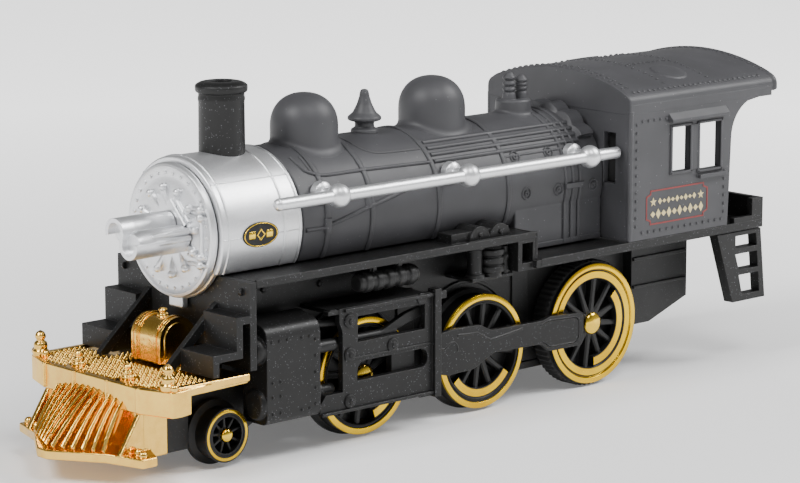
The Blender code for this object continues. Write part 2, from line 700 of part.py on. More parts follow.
def roof_outline(half, eave, crown, corner, steps=8):
    """The roof's (y, z) outline from one eave over the arch to the other."""
    shoulder = half - corner
    rise = 3.3
    radius = (shoulder * shoulder + rise * rise) / (2 * rise)
    centre = crown - radius
    swing = math.degrees(math.asin(shoulder / radius))
    top = arc((0, centre), radius, 90 - swing, 90 + swing, steps)
    side_z = top[0][1] - corner
    round_off = arc((shoulder, side_z), corner, 0, 60, 3)
    left = [(half, eave)] + round_off
    return left + top[0:] + [(-y, z) for y, z in reversed(left)]


def make_cab():
    """Cab walls with windows and awnings, and the arched roof that runs out behind."""
    bracket = arc((-82.5, 48.5), 8.0, 0, 68, 8)
    side = [(CAB_FRONT, CAB_BOTTOM), (CAB_FRONT, CAB_EAVE), (ROOF_REAR + 1.8, CAB_EAVE)]
    side += [(x, min(z, CAB_EAVE - 0.8)) for x, z in reversed(bracket)]
    side += [(CAB_REAR, CAB_BOTTOM)]
    wall = prism("y", side, CAB_HALF - CAB_WALL, CAB_HALF)
    front = box((CAB_FRONT - CAB_WALL, CAB_FRONT), (-CAB_HALF, CAB_HALF), (CAB_BOTTOM, CAB_EAVE))
    windows = [
        box((-61.7, -56.3), (15, 25), (43.3, 52.6)),
        box((-71.0, -64.6), (15, 25), (42.9, 52.6)),
    ]
    slot = box((CAB_FRONT - 3, CAB_FRONT + 2), (13.4, 16.7), (41.8, 52.3))
    awning = [(CAB_HALF - 0.3, 55.9), (CAB_HALF + 1.2, 54.4), (CAB_HALF + 1.2, 53.8), (CAB_HALF - 0.3, 53.8)]
    shade = prism("x", awning, -72.6, -55.2)
    sill = box((-72.4, -64.2), (CAB_HALF - 0.3, CAB_HALF + 0.9), (41.2, 42.0))
    solids = [front] + both_sides([wall, shade, sill])
    piece("cab_walls", "grey_enamel", solids, both_sides(windows + [slot]))

    outer = roof_outline(CAB_HALF, CAB_EAVE + GAP, ROOF_CROWN, 2.4)
    inner = roof_outline(CAB_HALF - 1.5, CAB_EAVE - 5, ROOF_CROWN - 1.5, 1.6)
    shell = prism("x", outer, ROOF_REAR, CAB_FRONT)
    hollow = prism("x", inner, ROOF_REAR - 5, CAB_FRONT - CAB_WALL)
    piece("cab_roof", "grey_enamel", [shell], [hollow])


# ---------------------------------------------------------------- cylinders and side gear


def make_side_gear():
    """Cylinders, crosshead guides, air pumps, ribbed coolers and rear ladders."""
    block = [(12.4, 7.5), (18.6, 7.5), (19.5, 8.6), (19.5, 23.6)]
    block += arc((17.3, 23.6), 2.2, 15, 75, 4)
    block += [(14.0, 27.2), (12.4, 27.4)]
    body = prism("x", block, 38.5, 51.6)
    caps = [
        turned("x", (0, 16.4, 21.6), [(2.9, 51.4), (2.9, 52.9), (2.3, 53.6), (0, 53.6)], 20),
        turned("x", (0, 16.4, 11.2), [(3.0, 51.4), (3.0, 52.2), (2.4, 52.6), (0, 52.6)], 20),
    ]
    piston = rod("x", (0, 17.4, 20.2), 1.25, 33.7, 38.7, 14)
    gland = rod("x", (0, 16.7, 11.6), 1.0, 33.4, 38.7, 12)
    web = box((39.0, 51.0), (FRAME_HALF + GAP, 12.6), (14.0, 26.0))
    pair("cylinder", "black_plastic", [body, web, piston, gland] + caps)

    rear, front = 8.0, 33.3
    plate = [
        (front, 27.1),
        (rear, 27.1),
        (rear, 6.6),
        (12.6, 6.6),
        (13.4, 7.5),
        (38.2, 7.5),
        (38.2, 9.2),
        (36.8, 10.9),
        (front - 0.8, 10.9),
        (front - 0.8, 22.5),
        (front, 24.5),
    ]
    frame = prism("y", plate, GUIDE_IN, GUIDE_OUT)
    window = box((11.3, 28.7), (15, 25), (20.1, 25.1))
    slot = [(28.9, 12.6)] + arc((12.4, 14.45), 1.85, -90, -270, 8)
    slot += arc((27.0, 14.45), 1.85, 90, 0, 4)
    opening = prism("y", slot, 15, 25)
    post = box((rear - 0.2, rear + 1.4), (GUIDE_IN + 0.05, GUIDE_OUT + 0.9), (6.4, 27.7))
    ear = box((5.5, rear + 0.6), (GUIDE_IN + 0.1, GUIDE_OUT - 0.1), (25.4, 26.9))
    shelf = box((10.0, 35.0), (FRAME_HALF + GAP, GUIDE_IN + 0.5), (26.2, 26.95))
    shelf_root = box((32.5, 35.9), (GUIDE_IN - 0.2, GUIDE_OUT - 0.2), (26.1, 26.85))
    bosses = [
        rod("y", (x, 0, z), 1.15, GUIDE_OUT - 0.2, GUIDE_OUT + 0.4, 10)
        for x, z in ((30.8, 24.5), (30.8, 18.0), (19.8, 18.2), (30.8, 8.9), (12.4, 26.2))
    ]
    solids = [frame, post, ear, shelf, shelf_root] + bosses
    pair("crosshead_guide", "black_plastic", solids, [window, opening])

    shelf = box((-13.6, -2.6), (FRAME_HALF + GAP, 17.8), (27.0, 27.9))
    column = rod("z", (-4.8, 16.0, 0), 1.5, 27.5, 33.8, 10)
    rings = [(2.0, 27.5), (2.0, 28.2)]
    for z in (28.9, 30.6, 32.3):
        rings += [(2.7, z - 0.5), (2.7, z + 0.5), (2.2, z + 0.8)]
    rings += [(2.0, 33.8)]
    drum = turned("z", (-8.9, 16.4, 0), rings, 12)
    valve = rod("z", (-12.2, 16.8, 0), 0.7, 27.5, 33.0, 8)
    pair("air_pump", "black_plastic", [shelf, column, drum, valve])

    ribs = [(1.7, 11.8)]
    for x in (13.6, 17.2, 20.8, 24.4):
        ribs += [(1.7, x - 1.5), (2.1, x - 1.2), (2.1, x + 1.2), (1.7, x + 1.5)]
    ribs += [(1.7, 26.9)]
    tank = turned("x", (0, 16.4, 30.8), ribs, 12)
    hangers = [
        box((x, x + 1.2), (FRAME_HALF + GAP, 16.4), (31.6, 33.7))
        for x in (15.5, 22.0)
    ]
    pair("ribbed_tank", "black_plastic", [tank] + hangers)

    y0, y1 = 18.0, 20.4
    outline = [(-71.2, 28.1), (-76.4, 13.0), (-86.6, 13.0), (-84.9, 28.1)]
    plate = prism("y", outline, y0, y1)
    windows = []
    for low, high in ((14.4, 18.7), (19.8, 23.3), (24.5, 27.2)):
        corners = []
        for z, inset in ((low, 1.2), (high, 1.2)):
            front_x = -76.4 + (z - 13.0) * 5.2 / 15.1 - 2.2 - inset
            rear_x = -86.6 + (z - 13.0) * 1.7 / 15.1 + 1.5
            corners.append((min(front_x, -78.2), z) if z < 20 else (-77.0, z))
            corners.append((rear_x, z))
        windows.append(prism("y", [corners[0], corners[1], corners[3], corners[2]], 10, 30))
    pair("ladder", "black_plastic", [plate], windows)


def main():
    """Builds the whole locomotive."""
    clear_scene()
    make_frame()
    make_footplate()
    make_saddle()
    make_pilot()
    make_boiler()
    make_fittings()
    make_cab()
    make_side_gear()
    make_wheels()
    make_side_rods()
    make_drive()


main()
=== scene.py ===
"""Looks of a toy steam locomotive: fine surfaces, finishes, floor, light and camera.

Every size in this file is in millimetres. Shell.to_object() turns them into metres.
+X points to the cowcatcher, +Y to the engine's left and +Z up.
"""

from __future__ import annotations

import logging
import math
from dataclasses import dataclass, field
from enum import Enum

import bmesh
import bpy
import numpy as np
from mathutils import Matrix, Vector


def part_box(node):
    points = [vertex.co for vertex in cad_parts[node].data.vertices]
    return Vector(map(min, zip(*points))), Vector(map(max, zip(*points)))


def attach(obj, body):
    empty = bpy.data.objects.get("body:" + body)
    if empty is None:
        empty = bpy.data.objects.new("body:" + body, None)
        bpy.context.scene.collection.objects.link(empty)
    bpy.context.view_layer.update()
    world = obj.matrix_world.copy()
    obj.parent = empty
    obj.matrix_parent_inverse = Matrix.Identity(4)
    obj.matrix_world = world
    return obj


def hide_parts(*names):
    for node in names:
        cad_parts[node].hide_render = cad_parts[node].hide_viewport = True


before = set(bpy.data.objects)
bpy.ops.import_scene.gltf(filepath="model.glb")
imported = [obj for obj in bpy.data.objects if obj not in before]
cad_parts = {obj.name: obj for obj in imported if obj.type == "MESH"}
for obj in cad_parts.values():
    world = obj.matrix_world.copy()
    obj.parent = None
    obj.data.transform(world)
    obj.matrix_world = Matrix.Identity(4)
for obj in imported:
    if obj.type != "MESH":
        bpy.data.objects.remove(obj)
log = logging.getLogger("locomotive")

MM = 0.001
TAU = math.tau
SEAT = 0.25  # how far an added relief sinks into the surface that it stands on
MERGE_GAP = 2e-6  # points of one piece that are closer than this, in metres, become one
CRISP_ANGLE = math.radians(34)  # edges that turn by more than this stay sharp, or get a bevel
AHEAD = np.array([1.0, 0.0, 0.0])
OUTWARD = np.array([0.0, 1.0, 0.0])
MIDDLE_X, FRONT_X, DRIVER_Z = -7.8, 23.5, 12.1  # the middle and front axles

Pair = tuple[float, float]
Quad = tuple[float, float, float, float]
Colour = Quad


class Side(Enum):
    """The two sides of the engine."""

    LEFT = 1
    RIGHT = -1

    @property
    def word(self) -> str:
        """The side's name as it stands in node names."""
        return self.name.lower()


class Section(Enum):
    """Cross-sections of a relief line that is laid on a surface."""

    ROUND = "round"
    FLAT = "flat"


# ------------------------------------------------------------------ points


def points(*rows: tuple[float, ...]) -> np.ndarray:
    """The rows as an array of floats."""
    return np.array(rows, float)


def place(axis: str, first: np.ndarray, second: np.ndarray, along: np.ndarray) -> np.ndarray:
    """Puts two cross coordinates and one along an axis in x, y, z order.

    Args:
        axis: The axis that `along` runs on. The other two keep their order.
        first: The first cross coordinate.
        second: The second cross coordinate.
        along: The coordinate on the axis.

    Returns:
        An array whose last dimension is x, y, z.
    """
    ordered = [first, second]
    ordered.insert("xyz".index(axis), along)
    return np.stack(np.broadcast_arrays(*ordered), axis=-1).astype(float)


def arc(centre: Pair, radius: float, start: float, end: float, steps: int) -> np.ndarray:
    """Points of a circular arc: the centre plus the radius times (cosine, sine) of each angle.

    Args:
        centre: Its two coordinates.
        radius: Its radius.
        start: The first angle, in degrees.
        end: The last angle, in degrees.
        steps: How many chords it has.

    Returns:
        An array of steps + 1 rows.
    """
    turn = np.radians(np.linspace(start, end, steps + 1))
    return np.column_stack([centre[0] + radius * np.cos(turn), centre[1] + radius * np.sin(turn)])


def rounded(outline: np.ndarray, radius: float, steps: int = 3, closed: bool = True) -> np.ndarray:
    """Rounds an outline's corners with quadratic curves.

    Each corner P between A and B gives the curve (1-t)^2 A' + 2t(1-t) P + t^2 B', where A' and B'
    lie the radius, or 0.45 of the edge if that is less, away from P.

    Args:
        outline: Its corners, one row each.
        radius: How far from a corner its curve begins.
        steps: How many chords each curve has.
        closed: Whether the last corner joins the first.

    Returns:
        The rounded outline.
    """
    before, after = np.roll(outline, 1, axis=0), np.roll(outline, -1, axis=0)

    def towards(other: np.ndarray) -> np.ndarray:
        """The points where each corner's curve meets the edge towards the other corners."""
        edge = other - outline
        length = np.linalg.norm(edge, axis=1, keepdims=True)
        return outline + edge / length * np.minimum(radius, 0.45 * length)

    t = np.linspace(0, 1, steps + 1)[None, :, None]
    start, end, corner = towards(before)[:, None], towards(after)[:, None], outline[:, None]
    curves = (1 - t) ** 2 * start + 2 * t * (1 - t) * corner + t**2 * end
    if closed:
        return curves.reshape(-1, outline.shape[1])
    middle = curves[1:-1].reshape(-1, outline.shape[1])
    return np.vstack([outline[:1], middle, outline[-1:]])


def eased(profile: np.ndarray, radius: float, steps: int = 3) -> np.ndarray:
    """A profile with its corners rounded and its two ends kept."""
    return rounded(profile, radius, steps, closed=False)


def mirrored(outline: np.ndarray) -> np.ndarray:
    """An outline on one side of the middle plane, closed by its mirror image on the other."""
    return np.vstack([outline, (outline * (1, -1))[::-1]])


def stroke(path: np.ndarray, width: float) -> np.ndarray:
    """The closed outline of a flat line: its path moved half the width to each side.

    Args:
        path: The line's (first, second) points.
        width: Its width.

    Returns:
        The outline's corners.
    """
    run = np.gradient(path, axis=0)
    across = np.column_stack([-run[:, 1], run[:, 0]])
    across *= width / 2 / np.linalg.norm(across, axis=1, keepdims=True)
    return np.vstack([path + across, (path - across)[::-1]])


# ------------------------------------------------------------------ shells


@dataclass
class Shell:
    """The points and faces of one piece, gathered from closed surfaces."""

    rows: list[np.ndarray] = field(default_factory=list)
    faces: list[list[int]] = field(default_factory=list)
    size: int = 0

    def add(self, places: np.ndarray, faces: list[list[int]]) -> Shell:
        """Adds points and the faces among them."""
        self.rows.append(places.reshape(-1, 3))
        self.faces += [[i + self.size for i in face] for face in faces]
        self.size += len(self.rows[-1])
        return self

    def loft(self, rings: np.ndarray, ring_closed: bool = False) -> Shell:
        """Joins closed rings of points into a tube.

        Args:
            rings: An array of rings by points by 3.
            ring_closed: Whether the last ring joins the first. If not, both ends get a face.

        Returns:
            The shell itself.
        """
        count, around = rings.shape[:2]
        row = np.arange(count if ring_closed else count - 1)[:, None]
        column = np.arange(around)[None, :]
        ahead, beside = (row + 1) % count, (column + 1) % around
        corners = [row * around + column, row * around + beside]
        corners += [ahead * around + beside, ahead * around + column]
        faces = np.stack(np.broadcast_arrays(*corners), -1).reshape(-1, 4).tolist()
        if not ring_closed:
            faces += [list(range(around)), list(range((count - 1) * around, count * around))]
        return self.add(rings, faces)

    def turned(self, axis: str, centre: Pair, profile: np.ndarray, steps: int = 48) -> Shell:
        """A profile turned once round an axis: (radius cos t, radius sin t) across, unchanged along.

        Args:
            axis: The axis it turns about.
            centre: The axis's place in the two cross coordinates.
            profile: Rows of radius and place along the axis, from one pole to the other.
            steps: How many steps go round.

        Returns:
            The shell itself.
        """
        turn = np.linspace(0, TAU, steps, endpoint=False)[:, None]
        radius, along = profile[:, 0][None], profile[:, 1][None]
        grid = place(axis, centre[0] + radius * np.cos(turn), centre[1] + radius * np.sin(turn), along)
        return self.loft(grid.transpose(1, 0, 2))

    def drum(
        self, axis: str, centre: Pair, radius: float, ends: Pair, steps: int
    ) -> Shell:
        """A plain round bar along an axis: the profile of a radius between two ends, turned once."""
        low, high = ends
        return self.turned(axis, centre, points((0, low), (radius, low), (radius, high), (0, high)), steps)

    def bar(self, start: tuple, end: tuple, radius: float | tuple, rings: int, sides: int = 12) -> Shell:
        """A straight round bar between two points, of evenly spaced rings."""
        return self.pipe(np.linspace(start, end, rings), radius, sides)

    def ball(self, centre: tuple[float, float, float], radius: float, steps: int = 24) -> Shell:
        """A ball: a half circle turned about the vertical."""
        half = arc((0, centre[2]), radius, -90, 90, steps // 2)
        half[[0, -1], 0] = 0
        return self.turned("z", centre[:2], half, steps)

    def prism(self, axis: str, outline: np.ndarray, low: float, high: float) -> Shell:
        """A closed outline carried straight along an axis."""
        along = points((low,), (high,))
        return self.loft(place(axis, outline[:, 0][None], outline[:, 1][None], along))

    def box(self, x: Pair, y: Pair, z: Pair) -> Shell:
        """A block between two values of each coordinate."""
        corners = points((x[0], y[0]), (x[1], y[0]), (x[1], y[1]), (x[0], y[1]))
        return self.prism("z", corners, *z)

    def pipe(self, path: np.ndarray, radius: float | tuple, sides: int = 12) -> Shell:
        """A round bar along a path.

        At each point, two directions across the path are made from the path's direction and the
        axis that it runs along least, and the circle is radius times their cosine and sine sum.

        Args:
            path: Rows of x, y, z.
            radius: One radius, or one for each point.
            sides: How many sides the circle has.

        Returns:
            The shell itself.
        """
        ahead = np.gradient(path, axis=0)
        ahead /= np.linalg.norm(ahead, axis=1, keepdims=True)
        least = np.eye(3)[np.abs(ahead).sum(axis=0).argmin()]
        first = np.cross(ahead, least)
        first /= np.linalg.norm(first, axis=1, keepdims=True)
        second = np.cross(ahead, first)
        turn = np.linspace(0, TAU, sides, endpoint=False)[None, :, None]
        radius = np.broadcast_to(np.asarray(radius, float), len(path))[:, None, None]
        circles = first[:, None] * np.cos(turn) + second[:, None] * np.sin(turn)
        return self.loft(path[:, None] + radius * circles)

    def studs(self, centres: np.ndarray, normal: np.ndarray, radius: float, height: float) -> Shell:
        """Round-headed rivets: rings at 100, 100, 72 and 0 % of the radius.

        The first ring is sunk into the surface, and the others stand at 15, 75 and 100 % of the height.

        Args:
            centres: Rows of x, y, z on the surface.
            normal: One outward direction, or one for each centre.
            radius: Their radius.
            height: How far they stand out.

        Returns:
            The shell itself.
        """
        sides = 8
        normal = np.broadcast_to(normal, centres.shape).astype(float)
        normal = normal / np.linalg.norm(normal, axis=1, keepdims=True)
        least = np.eye(3)[np.abs(normal).argmin(axis=1)]
        first = np.cross(normal, least)
        first /= np.linalg.norm(first, axis=1, keepdims=True)
        second = np.cross(normal, first)
        turn = np.linspace(0, TAU, sides, endpoint=False)[None, :, None]
        circle = first[:, None] * np.cos(turn) + second[:, None] * np.sin(turn)
        levels = ((1.0, -SEAT), (1.0, 0.15 * height), (0.72, 0.75 * height))
        rings = [centres[:, None] + radius * r * circle + normal[:, None] * h for r, h in levels]
        tip = (centres + normal * height)[:, None]
        grid = np.concatenate([*rings, tip], axis=1)
        beside = [(i + 1) % sides for i in range(sides)]
        unit = [list(range(sides))]
        for level in range(2):
            low, high = level * sides, (level + 1) * sides
            unit += [[low + i, low + beside[i], high + beside[i], high + i] for i in range(sides)]
        unit += [[2 * sides + i, 2 * sides + beside[i], 3 * sides] for i in range(sides)]
        stride = 3 * sides + 1
        faces = [[i + k * stride for i in face] for k in range(len(centres)) for face in unit]
        return self.add(grid, faces)

    def both(self) -> Shell:
        """The shell with its mirror image across the engine's middle plane."""
        places = np.vstack(self.rows)
        return self.add(places * (1, -1, 1), [list(face) for face in self.faces])

    def on_side(self, side: Side) -> Shell:
        """The shell as it is on the left, or mirrored for the right."""
        self.rows = [row * (1, side.value, 1) for row in self.rows]
        return self

    def to_object(self, name: str, body: str, finish: Finish, bevel: float = 0.0) -> bpy.types.Object:
        """Makes the object: doubles merged, faces turned outwards, and a bevel where one is asked for.

        Args:
            name: The piece's name.
            body: The body that it rides on.
            finish: What its surface is.
            bevel: The bevel's width, or 0 for none.

        Returns:
            The finished object.
        """
        mesh = bpy.data.meshes.new(name)
        mesh.from_pydata((np.vstack(self.rows) * MM).tolist(), [], self.faces)
        work = bmesh.new()
        work.from_mesh(mesh)
        bmesh.ops.remove_doubles(work, verts=work.verts, dist=MERGE_GAP)
        bmesh.ops.recalc_face_normals(work, faces=work.faces)
        work.to_mesh(mesh)
        work.free()
        mesh.shade_smooth()
        mesh.set_sharp_from_angle(angle=CRISP_ANGLE)
        made = bpy.data.objects.new(name, mesh)
        bpy.context.scene.collection.objects.link(made)
        if bevel:
            cut = made.modifiers.new("edges", "BEVEL")
            cut.width, cut.segments, cut.limit_method = bevel * MM, 2, "ANGLE"
            cut.angle_limit = CRISP_ANGLE
            cut.harden_normals = True
        mesh.materials.append(finish.material())
        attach(made, body)
        log.info("%s: %d faces, on %s, in %s", name, len(mesh.polygons), body, finish.name)
        return made

    def to_side(
        self, side: Side, name: str, body: str, finish: Finish, bevel: float = 0.0, node: str = ""
    ) -> bpy.types.Object:
        """Makes one side's object, which may stand for that side's node of the solid model.

        Args:
            side: The side. A shell is drawn on the left, and is mirrored for the right.
            name: The piece's name without its side.
            body: The body that it rides on.
            finish: What its surface is.
            bevel: The bevel's width, or 0 for none.
            node: The node's name without its side, or nothing.

        Returns:
            The finished object.
        """
        made = self.on_side(side).to_object(f"{name}_{side.word}", body, finish, bevel)
        if node:
            show(made, f"{node}_{side.word}")
        return made


# ------------------------------------------------------------------ shader sums


class Value:
    """A socket's value. Sums and products of values add Math nodes."""

    def __init__(self, graph: Graph, socket: bpy.types.NodeSocket) -> None:
        """Keeps the graph and the socket."""
        self.graph = graph
        self.socket = socket

    def with_(self, operation: str, *others: Value | float) -> Value:
        """This value and others through one Math operation."""
        return self.graph.maths(operation, self, *others)

    def __add__(self, other: Value | float) -> Value:
        """This plus the other."""
        return self.with_("ADD", other)

    __radd__ = __add__

    def __sub__(self, other: Value | float) -> Value:
        """This less the other."""
        return self.with_("SUBTRACT", other)

    def __rsub__(self, other: float) -> Value:
        """The other less this."""
        return self.graph.maths("SUBTRACT", other, self)

    def __mul__(self, other: Value | float) -> Value:
        """This times the other."""
        return self.with_("MULTIPLY", other)

    __rmul__ = __mul__

    def __truediv__(self, other: Value | float) -> Value:
        """This over the other."""
        return self.with_("DIVIDE", other)

    def __gt__(self, other: Value | float) -> Value:
        """1 where this is more than the other."""
        return self.with_("GREATER_THAN", other)

    def __lt__(self, other: Value | float) -> Value:
        """1 where this is less than the other."""
        return self.with_("LESS_THAN", other)

    def ramp(self, low: float, high: float) -> Value:
        """0 at low, 1 at high, straight between them and held outside."""
        settings = {"clamp": True}
        values = {"Value": self, "From Min": low, "From Max": high, "To Min": 0.0, "To Max": 1.0}
        return self.graph.node("ShaderNodeMapRange", settings, values)

    def band(self, low: float, high: float, soft: float) -> Value:
        """1 between low and high, falling to 0 over the soft width at each side."""
        return self.ramp(low - soft, low + soft) * (1 - self.ramp(high - soft, high + soft))


class Graph:
    """One material's nodes."""

    def __init__(self, name: str) -> None:
        """Starts a material with one Principled shader."""
        self.material = bpy.data.materials.new(name)
        self.material.use_nodes = True
        self.tree = self.material.node_tree
        self.tree.nodes.clear()
        out = self.tree.nodes.new("ShaderNodeOutputMaterial")
        self.shader = self.tree.nodes.new("ShaderNodeBsdfPrincipled")
        self.tree.links.new(self.shader.outputs[0], out.inputs["Surface"])

    def node(
        self, kind: str, settings: dict | None = None, values: dict | None = None, output: int | str = 0
    ) -> Value:
        """Adds one node.

        Args:
            kind: The node's type.
            settings: Its own properties, set first.
            values: Its sockets' values, each a number, a colour, a vector or a Value.
            output: The output that is wanted.

        Returns:
            That output.
        """
        made = self.tree.nodes.new(kind)
        for key, setting in (settings or {}).items():
            setattr(made, key, setting)
        for key, value in (values or {}).items():
            self.feed(made.inputs[key], value)
        return Value(self, made.outputs[output])

    def feed(self, socket: bpy.types.NodeSocket, value: object) -> None:
        """Links or sets one input socket."""
        if isinstance(value, Value):
            self.tree.links.new(value.socket, socket)
        else:
            socket.default_value = value

    def set(self, **values: object) -> None:
        """Feeds the Principled shader. An underscore in a name stands for a space."""
        for key, value in values.items():
            self.feed(self.shader.inputs[key.replace("_", " ")], value)

    def maths(self, operation: str, *values: Value | float) -> Value:
        """One Math node on up to three values."""
        return self.node("ShaderNodeMath", {"operation": operation}, dict(enumerate(values)))

    def place(self) -> Value:
        """Where the shaded point is, in the object's own metres."""
        return self.node("ShaderNodeTexCoord", output="Object")

    def noise(self, scale: float, detail: float = 2.0, roughness: float = 0.5) -> Value:
        """Soft noise. The scale is in cells per metre."""
        values = {"Vector": self.place(), "Scale": scale, "Detail": detail, "Roughness": roughness}
        return self.node("ShaderNodeTexNoise", None, values)

    def cells(self, scale: float, output: str = "Distance") -> Value:
        """Voronoi cells. The scale is in cells per metre."""
        return self.node("ShaderNodeTexVoronoi", None, {"Vector": self.place(), "Scale": scale}, output)

    def tint(self, share: Value, plain: tuple | Value, other: tuple | Value) -> Value:
        """The plain colour, turned into the other one by the share. 6 and 7 are a Mix node's colours."""
        values = {"Factor": share, 6: plain, 7: other}
        return self.node("ShaderNodeMix", {"data_type": "RGBA"}, values, 2)

    def soft_edges(self, radius: float) -> Value:
        """The normal with every edge rounded by a radius in millimetres."""
        return self.node("ShaderNodeBevel", {"samples": 4}, {"Radius": radius * MM})

    def edges(self, radius: float) -> Value:
        """1 along sharp edges: one less the rounded normal's dot product with the plain one, times 9."""
        plain = self.node("ShaderNodeNewGeometry", output="Normal")
        values = {0: self.soft_edges(radius), 1: plain}
        dot = self.node("ShaderNodeVectorMath", {"operation": "DOT_PRODUCT"}, values, "Value")
        return ((1 - dot) * 9).ramp(0.0, 1.0)

    def bump(self, height: Value, depth: float, strength: float, under: Value | None = None) -> Value:
        """A normal from a height between 0 and 1 and a depth in millimetres."""
        values = {"Height": height, "Distance": depth * MM, "Strength": strength}
        if under is not None:
            values["Normal"] = under
        return self.node("ShaderNodeBump", None, values)

    def coordinates(self) -> tuple[Value, Value, Value]:
        """The shaded point's x, y and z, in the object's own metres."""
        split = self.tree.nodes.new("ShaderNodeSeparateXYZ")
        self.feed(split.inputs[0], self.place())
        return tuple(Value(self, split.outputs[axis]) for axis in "XYZ")

    def radius_from_middle(self) -> Value:
        """The distance in millimetres from the upright axis through the origin."""
        east, north, _ = self.coordinates()
        east, north = east / MM, north / MM
        return (east * east + north * north).with_("SQRT")

    def radius_from(self, x: float, z: float) -> Value:
        """The distance in millimetres from an axle that lies along Y at x and z."""
        east, _, up = self.coordinates()
        east, up = (east - x * MM) * 1000, (up - z * MM) * 1000
        return (east * east + up * up).with_("SQRT")


# ------------------------------------------------------------------ finishes


def grey(level: float) -> Colour:
    """A neutral colour."""
    return (level, level, level, 1.0)


def scaled(colour: Colour, by: float) -> Colour:
    """A colour made lighter or darker by a factor."""
    return (*(by * part for part in colour[:3]), 1.0)


@dataclass(frozen=True)
class Finish:
    """A surface finish with a name and the record's slot that it belongs to."""

    name: str
    slot: str

    def material(self) -> bpy.types.Material:
        """The finish's material, made once."""
        title = f"{self.name}_finish"
        known = bpy.data.materials.get(title)
        if known is not None:
            return known
        graph = Graph(title)
        self.shade(graph)
        return graph.material

    def shade(self, graph: Graph) -> None:
        """Builds the nodes. Each finish has its own."""
        raise NotImplementedError


@dataclass(frozen=True)
class Enamel(Finish):
    """Satin paint on a casting: mottled, orange-peel, paler on the edges as a painted highlight, with dust
    specks.
    """

    colour: Colour = (0.048, 0.048, 0.052, 1.0)
    mottle_cells: float = 120.0
    speck_cells: float = 760.0
    peel_cells: float = 1900.0
    # Radius in millimetres of the edge mask that carries the painted highlight.
    painted_highlight_edge: float = 0.35
    soft_edge: float = 0.25

    def shade(self, graph: Graph) -> None:
        """Builds the paint's nodes."""
        pale = scaled(self.colour, 1.9)
        mottle = graph.noise(self.mottle_cells, 3.0)
        base = graph.tint(mottle.ramp(0.35, 0.7) * 0.22, self.colour, pale)
        # Painted highlight: the paint is tinted paler along every edge.
        base = graph.tint(graph.edges(self.painted_highlight_edge) * 0.3, base, pale)
        size = graph.cells(self.speck_cells, "Color")
        speck = (graph.cells(self.speck_cells) < 0.09) * (size > 0.6)
        base = graph.tint(speck * 0.35, base, grey(0.3))
        peel = graph.noise(self.peel_cells, 3.0, 0.6)
        graph.set(Base_Color=base, Roughness=0.45 + 0.1 * graph.noise(300.0), Metallic=0.0)
        graph.set(Normal=graph.bump(peel, 0.02, 0.35, graph.soft_edges(self.soft_edge)))
        graph.set(Specular_IOR_Level=0.42)


@dataclass(frozen=True)
class Silver(Finish):
    """Aluminium paint: fine flakes that vary the colour, and patches of warm toning."""

    colour: Colour = (0.74, 0.75, 0.77, 1.0)
    toning: Colour = (0.62, 0.55, 0.44, 1.0)
    flake_cells: float = 5200.0
    toning_cells: float = 90.0

    def shade(self, graph: Graph) -> None:
        """Builds the paint's nodes."""
        flake = graph.cells(self.flake_cells, "Color")
        base = graph.tint(flake.ramp(0.0, 1.0) * 0.4, self.colour, grey(0.95))
        warm = graph.noise(self.toning_cells, 2.0).ramp(0.6, 0.75)
        base = graph.tint(warm * 0.12, base, self.toning)
        graph.set(Base_Color=base, Roughness=0.33 + 0.12 * graph.noise(2400.0), Metallic=0.88)
        grain = graph.noise(3200.0, 2.0)
        graph.set(Normal=graph.bump(grain, 0.012, 0.3, graph.soft_edges(0.2)))


@dataclass(frozen=True)
class FleckedBlack(Finish):
    """Black moulding with metal flecks in it: a fine matt grain with scattered bright points, and a painted
    highlight that tints every edge lighter.
    """

    level: float = 0.007
    flecks: float = 1.0
    fleck_colour: Colour = (0.2, 0.2, 0.22, 1.0)
    fleck_cells: float = 2400.0
    pick_cells: float = 2100.0

    def shade(self, graph: Graph) -> None:
        """Builds the moulding's nodes."""
        cloud = graph.noise(160.0, 3.0).ramp(0.4, 0.75)
        base = graph.tint(cloud * 0.45, grey(self.level), grey(self.level * 2.1))
        # Painted highlight: every edge is tinted lighter grey.
        base = graph.tint(graph.edges(0.3) * 0.35, base, grey(0.05))
        pick = graph.cells(self.pick_cells, "Color")
        fleck = (graph.cells(self.fleck_cells) < 0.24) * (pick > 0.62) * self.flecks
        base = graph.tint(fleck * 0.5, base, self.fleck_colour)
        graph.set(Base_Color=base, Metallic=fleck * 0.5, Roughness=0.46 - 0.12 * fleck)
        graph.set(Specular_IOR_Level=0.32)
        grain = graph.noise(1500.0, 2.0, 0.6)
        graph.set(Normal=graph.bump(grain, 0.02, 0.3, graph.soft_edges(0.22)))


@dataclass(frozen=True)
class Gold(Finish):
    """Bright plating on plastic: a mirror with slow ripples and deeper-toned patches."""

    colour: Colour = (0.96, 0.6, 0.13, 1.0)
    deep: Colour = (0.72, 0.38, 0.06, 1.0)
    gloss: float = 0.15
    tone_cells: float = 300.0
    ripple_cells: float = 420.0
    ripple_depth: float = 0.14

    def shade(self, graph: Graph) -> None:
        """Builds the plating's nodes."""
        tone = graph.noise(self.tone_cells, 3.0, 0.6).ramp(0.46, 0.7)
        base = graph.tint(tone * 0.45, self.colour, self.deep)
        graph.set(Base_Color=base, Metallic=1.0, Roughness=self.gloss + 0.06 * graph.noise(800.0))
        ripple = graph.noise(self.ripple_cells, 2.0)
        graph.set(Normal=graph.bump(ripple, self.ripple_depth, 0.7, graph.soft_edges(0.22)))


